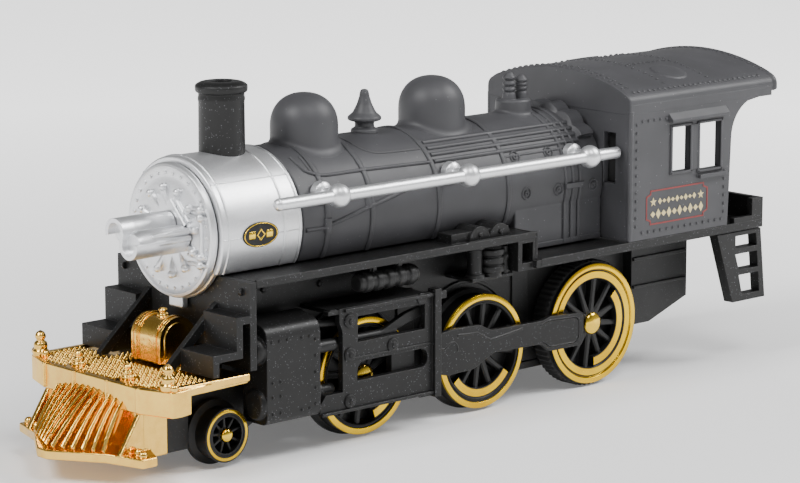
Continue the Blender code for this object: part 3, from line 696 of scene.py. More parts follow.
@dataclass(frozen=True)
class FoilRings(Finish):
    """Black plastic with stamped foil: whole rings, and a crescent to each side of an angle.

    The rings are (inner, outer) radii. The crescent is its middle angle, the angle that it swings
    to each side, and its two radii. Foil lies only beyond from_y, and its edges are soft.
    """

    x: float = 0.0
    z: float = 0.0
    rings: tuple[Pair, ...] = ()
    crescent: Quad | None = None
    from_y: float = 14.6
    soft: float = 0.04
    pale: Colour = (0.86, 0.56, 0.02, 1.0)
    deep: Colour = (0.72, 0.42, 0.012, 1.0)

    def shade(self, graph: Graph) -> None:
        """Foil lies where the radius from the axle is within a ring, less a few worn specks.

        The crescent's gate is the cosine of the angle between a place and its middle direction:
        (x cos m + z sin m) / radius, which must pass the cosine of its swing.
        """
        x, y, z = graph.coordinates()
        radius = graph.radius_from(self.x, self.z)
        outward = y.with_("ABSOLUTE") > self.from_y * MM
        bands = [radius.band(low, high, self.soft) for low, high in self.rings]
        if self.crescent:
            centre, swing, low, high = self.crescent
            turn = math.radians(centre)
            ahead = (x / MM - self.x) * math.cos(turn) + (z / MM - self.z) * math.sin(turn)
            inside = (ahead / radius) > math.cos(math.radians(swing))
            bands.append(radius.band(low, high, self.soft) * inside)
        foil = bands[0]
        for band in bands[1:]:
            foil = foil.with_("MAXIMUM", band)
        worn = graph.noise(2600.0, 3.0, 0.7) < 0.72
        foil = foil * outward * worn
        wave = graph.noise(160.0)
        black = graph.tint(graph.noise(420.0), grey(0.006), grey(0.01))
        gold = graph.tint(wave.ramp(0.3, 0.7), self.pale, self.deep)
        graph.set(
            Base_Color=graph.tint(foil, black, gold),
            Metallic=foil,
            Roughness=0.42 - 0.2 * foil,
            Specular_IOR_Level=0.35,
            Normal=graph.bump(foil, 0.06, 0.6, graph.soft_edges(0.12)),
        )


@dataclass(frozen=True)
class Rubber(Finish):
    """Matt black rubber, dusty on its high spots."""

    def shade(self, graph: Graph) -> None:
        """Builds the rubber's nodes."""
        dust = graph.noise(500.0, 4.0, 0.65).ramp(0.5, 0.8)
        graph.set(Base_Color=graph.tint(dust * 0.4, grey(0.013), grey(0.06)))
        graph.set(Roughness=0.72 + 0.15 * dust)
        graph.set(Normal=graph.bump(graph.noise(2500.0, 3.0), 0.03, 0.4))


@dataclass(frozen=True)
class Metal(Finish):
    """Bare or plated metal with a fine grain and darker stains."""

    colour: Colour = grey(0.55)
    gloss: float = 0.25

    def shade(self, graph: Graph) -> None:
        """Builds the metal's nodes."""
        stain = graph.noise(260.0, 3.0).ramp(0.5, 0.8)
        graph.set(Base_Color=graph.tint(stain * 0.4, self.colour, scaled(self.colour, 0.6)), Metallic=1.0)
        graph.set(Roughness=self.gloss + 0.12 * graph.noise(2600.0))
        graph.set(Normal=graph.bump(graph.noise(3000.0, 2.0), 0.01, 0.3, graph.soft_edges(0.12)))


@dataclass(frozen=True)
class Moulding(Finish):
    """Plain moulded plastic or printed ink of one colour, slightly uneven."""

    colour: Colour = (0.74, 0.72, 0.66, 1.0)
    rough: float = 0.4

    def shade(self, graph: Graph) -> None:
        """Builds the plastic's nodes."""
        cloud = graph.noise(400.0, 3.0).ramp(0.45, 0.75)
        graph.set(Base_Color=graph.tint(cloud * 0.5, self.colour, scaled(self.colour, 0.75)))
        graph.set(Roughness=self.rough + 0.1 * graph.noise(900.0))
        graph.set(Normal=graph.bump(graph.noise(1800.0, 2.0), 0.01, 0.25))


ENAMEL = Enamel("grey_enamel", "grey_enamel")
SILVER = Silver("silver_paint", "silver_paint")
BLACK = FleckedBlack("flecked_black", "black_plastic")
PLAIN_BLACK = FleckedBlack("plain_black", "black_plastic", 0.012, 0.35)
GOLD = Gold("gold_plating", "gold_plating")
BRASS = Gold("brass_pins", "brass_pins", (0.9, 0.6, 0.06, 1.0), (0.7, 0.42, 0.03, 1.0), 0.16)
RUBBER = Rubber("rubber", "rubber")
STEEL = Metal("zinc_steel", "steel")
SPRING = Metal("blued_steel", "spring_steel", (0.16, 0.2, 0.3, 1.0), 0.22)
NYLON = Moulding("natural_moulding", "white_plastic")
RED_INK = Moulding("red_ink", "grey_enamel", (0.22, 0.02, 0.018, 1.0))
CREAM_INK = Moulding("cream_ink", "grey_enamel", (0.72, 0.6, 0.3, 1.0))


# ------------------------------------------------------------------ the engine's parts


def show(made: bpy.types.Object, *nodes: str) -> bpy.types.Object:
    """Lets a finished piece stand for nodes of the solid model."""
    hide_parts(*nodes)
    return made


def paint(finish: Finish, *nodes: str) -> None:
    """Gives nodes of the solid model a finish."""
    for name in nodes:
        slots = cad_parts[name].data.materials
        slots.clear()
        slots.append(finish.material())


def sides(stem: str) -> tuple[str, str]:
    """A part's left and right node names."""
    return f"{stem}_left", f"{stem}_right"


def spot(node: str) -> tuple[Vector, Vector]:
    """A node's lowest and highest corners in millimetres."""
    low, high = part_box(node)
    return low / MM, high / MM


@dataclass
class Boiler:
    """The barrel with its firebox, hoops, conduits and plugs, and the fittings that stand on it."""

    body: str = "chassis"
    axis_z: float = 42.8
    radius: float = 13.6
    smoke_radius: float = 13.8
    floor: float = 35.6
    hoops: tuple[float, ...] = (31.4, 20.0, 2.4, -16.5)
    bands: tuple[float, ...] = (-32.7, -34.7, -36.7)
    plugs: tuple[Pair, ...] = (
        (-21.4, -3.0),
        (-30.5, -4.0),
        (-19.7, 29.0),
        (-29.1, 28.5),
        (-40.5, -4.5),
    )
    conduits: tuple[float, ...] = (36.0, 42.5, 49.0, 56.0)
    knobs: tuple[float, ...] = (32.5, -1.2, -34.9)
    rail_y: float = 18.0
    rail_z: float = 48.6
    rail_radius: float = 1.2
    door_face: float = 58.5
    domes: tuple[tuple[str, float, float], ...] = (("sand_dome", 25.5, 6.6), ("steam_dome", -8.1, 6.7))
    stack_x: float = 45.9
    finial_x: float = 9.9
    whistle_x: float = -30.9
    spouts: tuple[tuple[Pair, float, float], ...] = (((-0.25, 43.9), 2.68, 69.6), ((3.85, 41.9), 2.58, 70.2))

    def lay(self, x: np.ndarray, arc_length: np.ndarray, height: np.ndarray, radius: float) -> np.ndarray:
        """Wraps a flat drawing round the barrel: (x, r cos(s / R), z0 + r sin(s / R)), r = R + height."""
        angle, reach = arc_length / radius, radius + height
        return place("x", reach * np.cos(angle), self.axis_z + reach * np.sin(angle), x)

    def relief(
        self,
        shell: Shell,
        path: np.ndarray,
        width: float,
        height: float,
        section: Section = Section.ROUND,
        closed: bool = False,
        radius: float | None = None,
    ) -> Shell:
        """A raised line on the barrel. Its section is moved across the path in the flat, then wrapped.

        Args:
            shell: The shell that it joins.
            path: Rows of x and degrees above the horizontal, on the left side.
            width: The line's width.
            height: How far it stands out.
            section: Its cross-section.
            closed: Whether the path is a loop.
            radius: The radius that it lies on, or None for the barrel's.

        Returns:
            The shell.
        """
        radius = radius or self.radius
        flat = np.column_stack([path[:, 0], np.radians(path[:, 1]) * radius])
        if closed:
            run = np.roll(flat, -1, axis=0) - np.roll(flat, 1, axis=0)
        else:
            run = np.gradient(flat, axis=0)
        across = np.column_stack([-run[:, 1], run[:, 0]])
        across /= np.linalg.norm(across, axis=1, keepdims=True)
        if section is Section.ROUND:
            top = arc((0, 0), 1.0, 0, 180, 6)
        else:
            top = points((1, 0), (0.98, 0.7), (0.75, 1), (-0.75, 1), (-0.98, 0.7), (-1, 0))
        cut = np.vstack([points((1, -SEAT / height)), top, points((-1, -SEAT / height))])
        spread = flat[:, None] + across[:, None] * (cut[None, :, :1] * width / 2)
        rise = np.broadcast_to(cut[None, :, 1] * height, spread.shape[:2])
        return shell.loft(self.lay(spread[..., 0], spread[..., 1], rise, radius), closed)

    def loop(
        self, x: float, degrees: float, reach: float, stretch: float = 1.0, steps: int = 28
    ) -> np.ndarray:
        """A closed ellipse on the barrel, in x and degrees."""
        turn = np.linspace(0, TAU, steps, endpoint=False)
        along = x + reach * stretch * np.cos(turn)
        return np.column_stack([along, degrees + np.degrees(reach / self.radius) * np.sin(turn)])

    def line(self, *corners: Pair, round_by: float = 0.0) -> np.ndarray:
        """A polyline in x and degrees with a point every millimetre or so, its corners rounded."""
        bends = np.array(corners, float)
        if round_by:
            bends = rounded(bends, round_by, 5, closed=False)
        step = np.hypot(np.diff(bends[:, 0]), np.diff(bends[:, 1]) * math.radians(self.radius))
        run = np.concatenate([[0.0], np.cumsum(step)])
        even = np.linspace(0, run[-1], max(3, int(run[-1]) + 2))
        return np.column_stack([np.interp(even, run, bends[:, 0]), np.interp(even, run, bends[:, 1])])

    def hoop(self, x: float, foot: float = -31.0) -> np.ndarray:
        """A line over the barrel from its foot, in degrees, to just past the crown."""
        return self.line((x, foot), (x, 90.5))

    def vault(self, radius: float, steps: int = 96) -> np.ndarray:
        """The barrel's outline: its circle, cut off at the boards."""
        start = -math.degrees(math.asin((self.axis_z - self.floor) / radius))
        return arc((0, self.axis_z), radius, start, 180 - start, steps)

    def build_shell(self) -> None:
        """The casting and everything moulded on it.

        The raised lines are rows of width, height, corner rounding and corners in x and degrees.
        """
        low, high = spot("boiler_shell")
        shell = Shell().prism("x", self.vault(self.radius), low.x, high.x)
        firebox = points((-13, low.z), (13, low.z), (13, 38.6), (11.6, 42.4), (-11.6, 42.4), (-13, 38.6))
        shell.prism("x", firebox, low.x, -18.8)
        show(shell.to_object("boiler_casting", self.body, ENAMEL, 0.35), "boiler_shell")
        relief = Shell()
        for x in self.hoops:
            self.relief(relief, self.hoop(x), 1.1, 0.28, Section.FLAT)
        for x in self.bands:
            self.relief(relief, self.hoop(x), 0.75, 0.42)
            relief.box((x - 0.35, x + 0.35), (12.7, 13.35), (30.4, 38.9))
        self.relief(relief, self.line((-32.2, -2), (-37.2, -2)), 1.2, 0.7, Section.FLAT)
        lines = [(0.95, 0.42, 0.0, (1.6, degrees), (-38.6, degrees)) for degrees in self.conduits]
        lines += [
            (0.5, 0.2, 0.0, (-16.4, 30.5), (-38.0, 30.5)),
            (0.8, 0.45, 0.0, (36.8, -4), (31.4, -4)),
            (0.8, 0.45, 0.0, (31.4, -3), (2.6, 24)),
            (1.7, 0.9, 0.0, (31.4, -8.5), (31.4, 3.0)),
            (1.3, 0.5, 0.0, (21.0, 6), (21.0, 17)),
            (0.75, 0.38, 2.5, (34.8, 61), (33.9, 44), (30.5, 38), (20, 38), (2.6, 36)),
            (0.6, 0.3, 0.0, (32.6, 60), (32.4, 40)),
            (0.5, 0.22, 3.0, (18.6, 80), (17.4, 60), (14.5, 51.5), (3.2, 50.0)),
            (0.6, 0.25, 0.0, (2.4, 58), (-16.5, 58)),
        ]
        for width, height, round_by, *corners in lines:
            self.relief(relief, self.line(*corners, round_by=round_by), width, height)
        for x, degrees in self.plugs:
            self.relief(relief, self.loop(x, degrees, 1.15), 0.4, 0.25, closed=True)
            self.relief(relief, self.loop(x, degrees, 0.4, steps=12), 0.55, 0.3, closed=True)
        relief.box((low.x + 0.3, -19.2), (12.6, 13.25), (30.4, 31.4))
        relief.loft(self.collar(low.x))
        relief.both().to_object("boiler_relief", self.body, ENAMEL)

    def collar(self, rear: float) -> np.ndarray:
        """The scalloped collar by the cab: its height is 0.5 plus 0.75 times |cos(9 t)|, t the angle."""
        turn = np.linspace(math.radians(38), math.radians(91), 72)[:, None]
        wave = 0.5 + 0.75 * np.abs(np.cos(9 * turn))
        front = rear + 4.6
        x = np.array([[front + 0.6, front, rear + 1.2, rear + 0.6]])
        height = np.array([[0.0, 1.0, 1.15, 0.0]]) * wave - SEAT * np.array([[1, 0, 0, 1]])
        return self.lay(np.broadcast_to(x, height.shape), turn * self.radius, height, self.radius)

    def build_smokebox(self) -> None:
        """The silver smokebox, its hoops and seams, the door and the number plates.

        The raised lines are rows of width, height and path.
        """
        low, high = spot("smokebox")
        shell = Shell().prism("x", self.vault(self.smoke_radius), low.x, high.x)
        shell.drum("x", (0, self.axis_z), 13.0, (56, high.x), 96)
        shell.box((56.0, 57.6), (-2.0, 2.0), (low.z, 31.0))
        show(shell.to_object("smokebox_casting", self.body, SILVER, 0.4), "smokebox")
        relief = Shell()
        for width, height, path in (
            (0.55, 0.22, self.hoop(55.6, -30.5)),
            (0.55, 0.22, self.hoop(42.2, -30.5)),
            (0.3, 0.16, self.line((57.0, 44), (38.0, 44))),
            (0.22, 0.1, self.line((57.0, -1.5), (52.4, -1.5))),
            (0.22, 0.1, self.line((44.0, -1.5), (38.0, -1.5))),
            (0.5, 0.2, self.hoop(38.5, -30.5)),
        ):
            self.relief(relief, path, width, height, radius=self.smoke_radius)
        relief.both().to_object("smokebox_relief", self.body, SILVER)
        self.build_door()
        self.build_plates()

    def build_door(self) -> None:
        """The round door: rim, dished face, rivets, clamps, and the hinge on its left."""
        back, face = spot("smokebox_door")[0].x, self.door_face
        rim = points((0, back), (12.7, back), (12.8, back + 0.5), (12.5, face + 0.15), (12.0, face + 0.3))
        dish = points((11.7, face + 0.1), (9.9, face), (9.4, face + 0.16), (4.0, face + 0.3), (0, face + 0.3))
        door = Shell().turned("x", (0, self.axis_z), np.vstack([rim, dish]), 96)
        for t in np.radians(np.arange(12) * 30.0 + 8):
            reach = np.array([4.9, 8.2])
            y, z = np.cos(t) * reach, self.axis_z + np.sin(t) * reach
            foot, tip = zip((face, face + 0.55), y, z)
            door.bar(foot, tip, (0.25, 0.45, 0.6, 0.75, 0.5), 5, 10)
            door.ball((face + 0.75, float(y[1]), float(z[1])), 0.78, 12)
        door.bar((face + 0.3, 9.6, 36.4), (face + 0.3, 9.6, 49.2), 0.4, 5)
        for z in (38.3, 47.2):
            strap = np.linspace((face + 0.35, 5.6, z), (face + 0.45, 11.2, z), 6)
            for shift in (-0.75, 0.75):
                door.pipe(strap + (0, 0, shift), (0.3, 0.42, 0.42, 0.42, 0.42, 0.35), 10)
            for shift in (0.75, -0.75):
                door.ball((face + 0.6, 9.6, z + shift), 0.85, 12)
        bar = np.linspace((face + 0.5, 1.0, 48.8), (face + 0.5, 5.2, 44.4), 5)
        door.pipe(bar, 0.42, 10).pipe(bar + (0, 1.0, 0.8), 0.42, 10)
        show(door.to_object("door_casting", self.body, SILVER), "smokebox_door")
        count, reach = 30, 10.9
        turn = np.radians(np.arange(count) * 360.0 / count)
        y, z = reach * np.cos(turn), self.axis_z + reach * np.sin(turn)
        heads = Shell().studs(np.column_stack([np.full(count, face + 0.04), y, z]), AHEAD, 0.38, 0.34)
        heads.to_object("door_rivets", self.body, SILVER)

    def build_plates(self) -> None:
        """The oval plates: a black field, a gold rim and plain gold bars with a diamond."""
        x, degrees, reach, stretch, on = 48.2, -0.8, 2.35, 1.8, self.smoke_radius
        rows = np.linspace(0, 1, 12)[:, None]
        turn = np.linspace(0, TAU, 48, endpoint=False)[None]
        along = x + reach * stretch * rows * np.cos(turn)
        around = math.radians(degrees) * on + reach * rows * np.sin(turn)
        top = self.lay(along, around, np.full(along.shape, 0.2), on)
        under = self.lay(along[-1:], around[-1:], np.full((1, 48), -SEAT), on)
        oval = Shell().loft(np.concatenate([under, top[::-1]])).both()
        oval.to_object("plate_fields", self.body, PLAIN_BLACK)
        marks = Shell()
        self.relief(marks, self.loop(x, degrees, 2.1, 1.87, 48), 0.2, 0.3, Section.FLAT, True, on)
        for shift in (-2.1, 2.1):
            ends = self.line((x + shift - 0.75, degrees), (x + shift + 0.75, degrees))
            self.relief(marks, ends, 1.5, 0.3, Section.FLAT, radius=on)
        diamond = points((x - 0.9, degrees), (x, degrees + 4), (x + 0.9, degrees), (x, degrees - 4))
        self.relief(marks, diamond, 0.4, 0.3, Section.FLAT, True, on)
        marks.both().to_object("plate_marks", self.body, BRASS)

    def build_nozzle(self) -> None:
        """The S-shaped double spout: one sheet that arches over on the right and under on the left."""
        arch = arc(self.spouts[0][0], 2.3, 196, -28, 22)
        trough = arc(self.spouts[1][0], 2.2, 158, 372, 22)
        spout = Shell().prism("x", stroke(np.vstack([arch, trough]), 0.85), 60.0, 71.4)
        for centre, size, end in self.spouts:
            core = points((0, 59.0), (size, 59.0), (size, end - 1.2), (size - 0.5, end), (0, end))
            spout.turned("x", centre, core, 40)
        spout.prism("x", points((-0.5, 42.2), (2.0, 39.9), (3.6, 42.0), (1.6, 45.0)), 59.0, 68.0)
        for z in (42.3, 43.7):
            spout.bar((59.0, 6.3, z), (67.6, 6.0, z - 0.2), (0.62, 0.62, 0.62, 0.62, 0.6, 0.35), 6)
        show(spout.to_object("nozzle_casting", self.body, SILVER, 0.18), "front_nozzle")

    def foot(
        self, x: float, radius: float, flare: float, top: float, cap: np.ndarray, steps: int = 72
    ) -> Shell:
        """A round fitting whose foot flares out to follow the barrel.

        The flare's ring at share t has the radius plus flare (1 - t)^2, and stands flare t^2 above
        the barrel at that y. Above it, the rings follow the cap's profile.

        Args:
            x: Where its axis stands.
            radius: Its radius above the foot.
            flare: The foot's reach and height.
            top: The height at which the rings are level.
            cap: Rows of radius and height from there to the pole.
            steps: How many steps go round.

        Returns:
            The closed shell.
        """
        turn = np.linspace(0, TAU, steps, endpoint=False)[None]
        t = np.linspace(0, 1, 9)[:, None]
        reach = radius + flare * (1 - t) ** 2
        y = reach * np.sin(turn)
        ground = self.axis_z + np.sqrt(np.maximum(self.radius**2 - y**2, 1.0))
        flare_rows = np.stack([x + reach * np.cos(turn), y, ground + 0.05 + flare * t**2], -1)
        under = flare_rows[:1] - (0, 0, 0.6)
        level = place("z", x + cap[:, :1] * np.cos(turn), cap[:, :1] * np.sin(turn), cap[:, 1:])
        start = flare_rows[-1:] * (1, 1, 0) + (0, 0, top)
        return Shell().loft(np.concatenate([under, flare_rows, start, level]))

    def build_fittings(self) -> None:
        """The domes, the stack, the finial and the whistles."""
        for name, x, size in self.domes:
            top = spot(name)[1].z
            turn = np.radians(np.linspace(0, 90, 20))
            bend = np.column_stack([size * np.cos(turn) ** 0.9, top - size * (1 - np.sin(turn) ** 0.9)])
            bend[-1] = (0.01, top)
            dome = self.foot(x, size, 1.35, top - size - 0.6, bend)
            show(dome.to_object(f"{name}_casting", self.body, ENAMEL), name)
        self.build_stack()
        top = spot("finial")[1].z
        spire = points((0, 56.0), (2.7, 56.0), (2.7, 56.9), (1.9, 57.3), (1.9, 58.3), (3.3, 58.7))
        tip = [(3.35, 59.3), (2.3, 60.2), (1.5, 61.8), (1.0, 63.4), (0.95, 63.9), (0.7, top - 0.15), (0, top)]
        finial = Shell().turned("z", (self.finial_x, 0), eased(np.vstack([spire, tip]), 0.3), 48)
        show(finial.to_object("finial_casting", self.body, ENAMEL), "finial")
        top = spot("whistles")[1].z
        cap = points((3.6, 58.6), (3.3, 58.95), (0.01, 58.95))
        base = self.foot(self.whistle_x, 3.7, 0.8, 57.6, cap, 48)
        for x, y, high in ((-29.4, 0.3, top), (-32.7, 0.4, top - 0.8)):
            post = [(0, 58.0), (1.55, 58.8), (1.25, 60.2)]
            for z in np.linspace(60.4, high - 1.8, 3):
                post += [(1.0, z), (1.35, z + 0.45), (1.35, z + 0.75), (1.0, z + 1.15)]
            post += [(0.6, high - 0.15), (0, high)]
            base.turned("z", (x, y), eased(points(*post), 0.2), 24)
        show(base.to_object("whistle_casting", self.body, ENAMEL), "whistles")

    def build_stack(self) -> None:
        """The stack: a plain tube with a thin ring, a flange and a hole."""
        seat, top = 55.6, spot("chimney")[1].z
        tube = points((0, seat), (4.42, seat), (4.36, 65.9), (4.46, 66.2), (4.46, 66.6), (4.36, 66.9))
        tube = np.vstack([tube, (4.36, 67.5)])
        flange = points((4.4, 67.5), (4.95, 67.8), (5.0, 69.0), (4.2, 69.5), (3.3, top), (2.1, top))
        hole = points((1.95, top - 0.4), (1.9, 60.0), (0, 60.0))
        stack = Shell().turned("z", (self.stack_x, 0), np.vstack([tube, eased(flange, 0.35), hole]), 72)
        show(stack.to_object("stack", self.body, BLACK), "chimney")

    def build_rails(self) -> None:
        """The handrails: a bar with a domed front end, ball knobs, and stems with a flange."""
        low, high = spot("handrail_left")
        stem = points((0, 12.2), (2.1, 12.2), (2.1, 13.7), (1.75, 14.1), (1.15, 14.3), (1.0, 17.5), (0, 17.5))
        y, z = self.rail_y, self.rail_z
        for side in Side:
            rail = Shell().bar((low.x, y, z), (high.x, y, z), self.rail_radius, 12, 24)
            rail.ball((high.x - 0.35, y, z), self.rail_radius, 20)
            for x in self.knobs:
                rail.ball((x, y, z), 2.3, 32)
                rail.turned("y", (x, z), stem, 28)
            rail.to_side(side, "rail", self.body, SILVER, node="handrail")

    def build(self) -> None:
        """Builds every piece of it."""
        self.build_shell()
        self.build_smokebox()
        self.build_nozzle()
        self.build_fittings()
        self.build_rails()


@dataclass
class Cab:
    """Cab walls with rivets, window frames and an ornament, and the riveted roof."""

    body: str = "chassis"
    half: float = 20.8
    crown: float = 64.3
    shoulder: float = 18.4
    rise: float = 3.3
    hatch_radius: float = 3.9
    windows: tuple[Quad, ...] = (
        (-61.7, -56.3, 43.3, 52.6),
        (-71.0, -64.6, 42.9, 52.6),
    )
    panel: Quad = (-67.4, -48.7, 33.0, 40.2)

    def roof_z(self, y: np.ndarray, drop: float = 0.0) -> np.ndarray:
        """The roof's height at y: a circle through the crown that falls by the rise at the shoulder."""
        radius = (self.shoulder**2 + self.rise**2) / (2 * self.rise)
        return self.crown - radius + np.sqrt(radius**2 - y**2) - drop

    def roof_line(self, inset: float, eave: float) -> np.ndarray:
        """The roof's outline from one eave to the other, set in by a distance."""
        y = np.linspace(self.shoulder - inset, -(self.shoulder - inset), 49)
        top = np.column_stack([y, self.roof_z(y, inset)])
        wall = self.half - inset
        corner = eased(points((wall, eave), (wall, 59.6), tuple(top[0])), 2.6, 6)
        return np.vstack([corner, top[1:-1], (corner * (-1, 1))[::-1]])

    def build_roof(self) -> None:
        """The arched roof with its rolled rear edge, two hatches and rows of rivets.

        A hatch is rings at shares of its radius, each lifted off the roof by a little more.
        """
        low, high = spot("cab_roof")
        outer, inner = self.roof_line(0.0, low.z), self.roof_line(1.4, low.z)
        shell = Shell().prism("x", np.vstack([outer, inner[::-1]]), low.x + 0.6, high.x)
        shell.prism("x", self.roof_line(0.3, low.z), high.x - 1.3, high.x - 0.05)
        lip = self.roof_line(0.55, low.z + 0.2)
        shell.pipe(np.column_stack([np.full(len(lip), low.x + 0.9), lip]), 0.85, 12)
        turn = np.linspace(0, TAU, 48, endpoint=False)[None]
        share = self.hatch_radius * np.array([[1.0], [1.0], [0.9], [0.5], [0.01]])
        rise = np.array([[-0.4], [0.16], [0.3], [0.34], [0.34]])
        for side in (-1, 1):
            y = side * (12.6 + share * np.sin(turn))
            hatch = np.stack([-63.6 - side * share * np.cos(turn), y, self.roof_z(y) + rise], -1)
            shell.loft(hatch)
        show(shell.to_object("roof_casting", self.body, ENAMEL, 0.3), "cab_roof")
        rivets, across = Shell(), np.linspace(-17.2, 17.2, 21)
        slope = place("x", across, np.array(52.9), np.array(0.0))
        for x in (high.x - 1.1, high.x - 2.4, -57.2, -70.4, low.x + 1.6):
            rivets.studs(place("x", across, self.roof_z(across), np.array(x)), slope, 0.38, 0.3)
        along = np.linspace(low.x + 4.5, high.x - 2.5, 26)
        for y in (19.1, -19.1):
            row = place("x", np.array(y), np.array(60.55), along)
            rivets.studs(row, np.array([0, math.copysign(0.75, y), 1]), 0.42, 0.34)
        between = np.linspace(-69.0, -58.6, 8)
        for y in (-6.2, 6.2):
            row = place("x", np.array(y), self.roof_z(np.array(y)), between)
            rivets.studs(row, np.array([0, y / 53, 1]), 0.38, 0.3)
        rivets.to_object("roof_rivets", self.body, ENAMEL)

    def build_walls(self) -> None:
        """The rivets, window frames and corner beads of both side walls, and black sheets behind the front
        windows that paint in the shade inside the cab.
        """
        heads = [(-45.7, z) for z in np.arange(33.2, 55.0, 1.75)]
        heads += [(-72.4, z) for z in np.arange(33.2, 43.0, 1.75)]
        heads += [(x, 31.7) for x in np.arange(-47.6, -72.0, -1.85)]
        heads += [(x, 54.7) for x in np.arange(-47.4, -55.0, -1.75)]
        face = np.array([(x, self.half, z) for x, z in heads])
        Shell().studs(face, OUTWARD, 0.36, 0.3).both().to_object("cab_rivets", self.body, ENAMEL)
        trim, proud = Shell(), (self.half - 0.3, self.half + 0.3)
        for x0, x1, z0, z1 in self.windows:
            for height in ((z1, z1 + 0.55), (z0 - 0.55, z0)):
                trim.box((x0 - 0.7, x1 + 0.7), proud, height)
            for edge in (x0 - 0.6, x1):
                trim.box((edge, edge + 0.6), proud, (z0 - 0.5, z1 + 0.5))
        trim.box((-64.2, -62.1), (self.half - 0.3, self.half + 0.18), (43.2, 52.7))
        front = spot("cab_walls")[1].x
        trim.bar((front - 0.5, self.half - 0.45, 30.4), (front - 0.5, self.half - 0.45, 57.0), 0.6, 4, 16)
        trim.prism("x", self.roof_line(0.08, 56.3), front - 1.0, front + 0.06)
        trim.box((-87.1, front - 0.1), (self.half - 1.4, self.half + 0.03), (56.4, 58.4))
        trim.both().to_object("cab_trim", self.body, ENAMEL, 0.12)
        # Painted shade: a black sheet just behind each front window stands in for the shade inside the cab.
        shade_sheet = Shell().box((front - 2.6, front - 1.6), (12.4, 18.8), (40.8, 53.4)).both()
        shade_sheet.to_object("window_shade_sheets", self.body, PLAIN_BLACK, 0.1)

    def build_ornament(self) -> None:
        """The panel on each side: a red frame with notched corners, cream lozenges and two stars."""
        x0, x1, z0, z1 = self.panel
        notch, step = 1.2, 0.7
        quarter = np.array([(notch, 0), (notch, step), (0, notch)])
        left, right = quarter * (1, 1) + (x0, z0), quarter * (-1, 1) + (x1, z0)
        upper_left, upper_right = quarter * (1, -1) + (x0, z1), quarter * (-1, -1) + (x1, z1)
        frame_line = np.vstack([left[:1], right, upper_right[::-1], upper_left, left[:0:-1]])
        centre = frame_line.mean(axis=0)
        inner = centre + (frame_line - centre) * (1 - 0.034, 1 - 0.085)
        red, wall = Shell(), self.half
        ring = np.stack([frame_line, inner, inner, frame_line], axis=1)
        depth = np.array([wall + 0.07, wall + 0.07, wall - SEAT, wall - SEAT])[None]
        red.loft(place("y", ring[..., 0], ring[..., 1], np.broadcast_to(depth, ring.shape[:2])), True)
        red.both().to_object("panel_frames", self.body, RED_INK)
        cream, ink = Shell(), (wall - SEAT, wall + 0.08)
        middle, star_z = (x0 + x1) / 2, 37.7
        for count, pitch, z, height in ((9, 1.3, star_z, 1.35), (10, 1.62, 35.15, 2.1)):
            for i in range(count):
                x, tall = middle + (i - (count - 1) / 2) * pitch, height / 2 * (0.62 if i % 2 else 1.0)
                mark = points((x - pitch * 0.42, z), (x, z - tall), (x + pitch * 0.42, z), (x, z + tall))
                cream.prism("y", mark, *ink)
        turn = np.radians(90 + np.arange(10) * 36.0)
        reach = np.where(np.arange(10) % 2 == 0, 0.95, 0.4)
        for shift in (-7.2, 7.2):
            star = np.column_stack([middle + shift + reach * np.cos(turn), star_z + reach * np.sin(turn)])
            cream.prism("y", star, *ink)
        cream.both().to_object("panel_marks", self.body, CREAM_INK)

    def build(self) -> None:
        """Builds every piece of it."""
        self.build_roof()
        self.build_walls()
        self.build_ornament()

    def dress(self) -> None:
        """Paints the walls."""
        paint(ENAMEL, "cab_walls")


